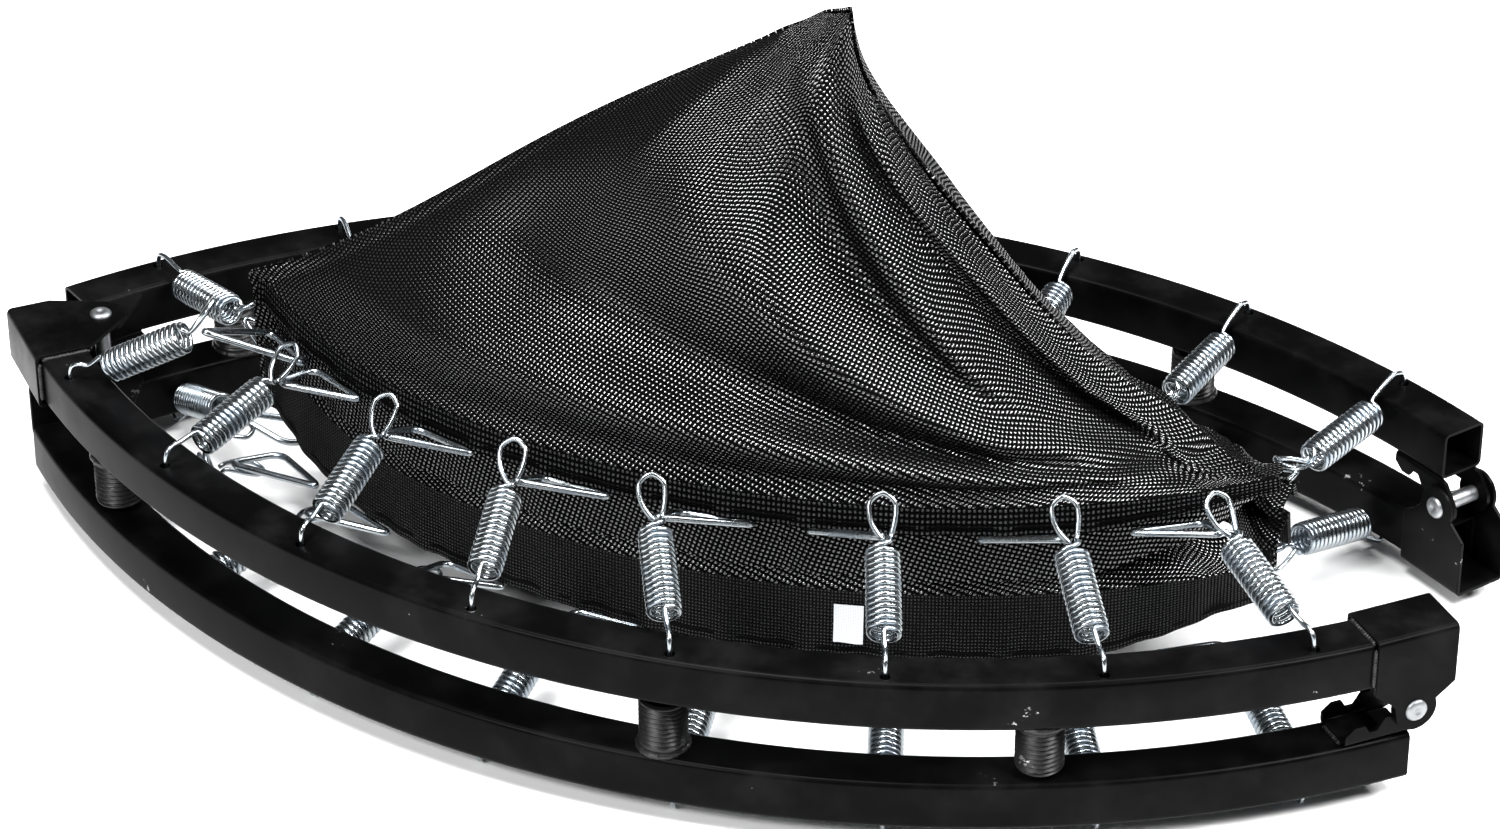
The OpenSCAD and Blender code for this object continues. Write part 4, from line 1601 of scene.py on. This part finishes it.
    def build(self) -> None:
        """Builds the sheets, the hems, the seams and the tag."""
        for quarter in QUARTERS:
            plan, place = PLANS[quarter.name], self.lens(quarter.side)
            points, uv = self.surface(plan)
            sheet = build(f"mat.{quarter.name}", self.slab(points, uv, self.thick).moved(place), 70)
            self.dress(sheet, NET, None, "mat_web", f"mat_{quarter.name}")
            quarter.body
            f"mat_{quarter.name}"
            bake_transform(sheet)
            hem = build(f"hem.{quarter.name}", self.hem(plan).moved(place), 50)
            cloth = NET_HEM if quarter.layer is Layer.TOP else WEBBING
            self.dress(hem, cloth, quarter.body, "mat_web", f"hem_{quarter.name}")
            seam = build(f"seam.{quarter.name}", self.seam(plan).moved(place), 60)
            self.dress(seam, cloth, quarter.body, "mat_web")
        self.tag()

    def tag(self) -> None:
        """The bare care tag on the front hem of the bottom layer: a strip that bends away at its foot."""
        width, length, hem_r, top = 14, 20, 402, 10
        w = np.linspace(0, 1, 16)[:, None]
        s = np.linspace(-0.5, 0.5, 10)[None, :]
        angle = math.radians(8) + s * width / hem_r
        radius = hem_r + 0.6 + 2.0 * w**2 + 0.4 * np.sin(s * 5) * w
        points = np.stack(np.broadcast_arrays(
            radius * np.sin(angle), self.ring.centre_y - radius * np.cos(angle), top - w * length), -1)
        uv = np.stack(np.broadcast_arrays(s * width * MM, w * length * MM), -1)
        piece = build("care.tag", self.slab(points, uv, 0.5).moved(self.lens(Side.FRONT)))
        self.dress(piece, TAG_CLOTH, "front_quarters", "tag", "care_tag")


# ------------------------------------------------------------------ studio


# Place, width and height, and power of each soft light
LIGHTS = {
    "key": ((-0.9, -2.0, 1.8), (1.1, 0.7), 65),
    "top": ((-0.4, -0.4, 2.7), (1.1, 0.9), 90),
    "fill": ((1.7, -0.5, 2.2), (0.8, 0.8), 75),
    "side": ((1.9, 0.9, 1.7), (0.9, 0.7), 60),
    "rim": ((0.4, 1.3, 2.8), (1.4, 0.7), 40),
}


@dataclass
class Studio:
    """Pale floor, soft lights and the camera."""

    target: tuple = (0.01285, 0.0024, 0.0898)
    azimuth: float = 16.17
    elevation: float = 31.76
    distance: float = 2.3456
    lens: float = 115.6
    half: float = 6.0
    glow: float = 0.07

    def floor(self) -> None:
        """A wide floor that is nearly white."""
        mesh, half = bpy.data.meshes.new("floor"), self.half
        mesh.from_pydata([(-half, -half, 0), (half, -half, 0), (half, half, 0), (-half, half, 0)], [], [(0, 1, 2, 3)])
        mesh.materials.append(FLOOR_WHITE.material())
        placed("floor", mesh)

    def light(self, name: str, place: tuple, size: tuple, power: float) -> None:
        """A soft box that looks at the part's middle.

        Args:
            name: name of the light.
            place: where it stands.
            size: its width and height.
            power: its power in watts.
        """
        data = bpy.data.lights.new(name, "AREA")
        data.shape, data.size, data.size_y, data.energy = "RECTANGLE", *size, power
        lamp = placed(name, data)
        lamp.location = place
        lamp.rotation_euler = (Vector(self.target) - Vector(place)).to_track_quat("-Z", "Y").to_euler()

    def world(self) -> None:
        """A white surrounding that lights the part less than it shows."""
        world = bpy.data.worlds.new("white_room")
        world.use_nodes = True
        graph = Graph(world.node_tree)
        seen = graph.add("LightPath").outputs["Is Camera Ray"]
        graph.fill(world.node_tree.nodes["Background"], {
            "Color": (1, 1, 1, 1), "Strength": graph.ramp(seen, 0.0, 1.0, (self.glow, 1.0)),
        })
        bpy.context.scene.world = world

    def camera(self) -> None:
        """A camera that looks at the target from an azimuth and an elevation."""
        az, el = math.radians(self.azimuth), math.radians(self.elevation)
        back = Vector((math.sin(az) * math.cos(el), -math.cos(az) * math.cos(el), math.sin(el)))
        data = bpy.data.cameras.new("camera")
        data.sensor_width, data.lens, data.clip_end = 36, self.lens, 100
        eye = placed("camera", data)
        eye.location = Vector(self.target) + back * self.distance
        eye.rotation_euler = (-back).to_track_quat("-Z", "Y").to_euler()
        bpy.context.scene.camera = eye

    def build(self) -> None:
        """Sets up the room."""
        self.floor()
        self.world()
        for name, (place, size, power) in LIGHTS.items():
            self.light(name, place, size, power)
        self.camera()
        bpy.context.scene.view_settings.view_transform = "Standard"


def main() -> None:
    """Builds the trampoline and the room."""
    logging.basicConfig(level=logging.INFO, format="%(name)s: %(message)s")
    for assembly in (QuarterTubes(), HingeParts(), LegStuds(), Springs(), VRings(), Mat()):
        assembly.build()
        LOG.info("%s: %d pieces", type(assembly).__name__, len(assembly.made))
    Studio().build()


if __name__ == "__main__":
    main()
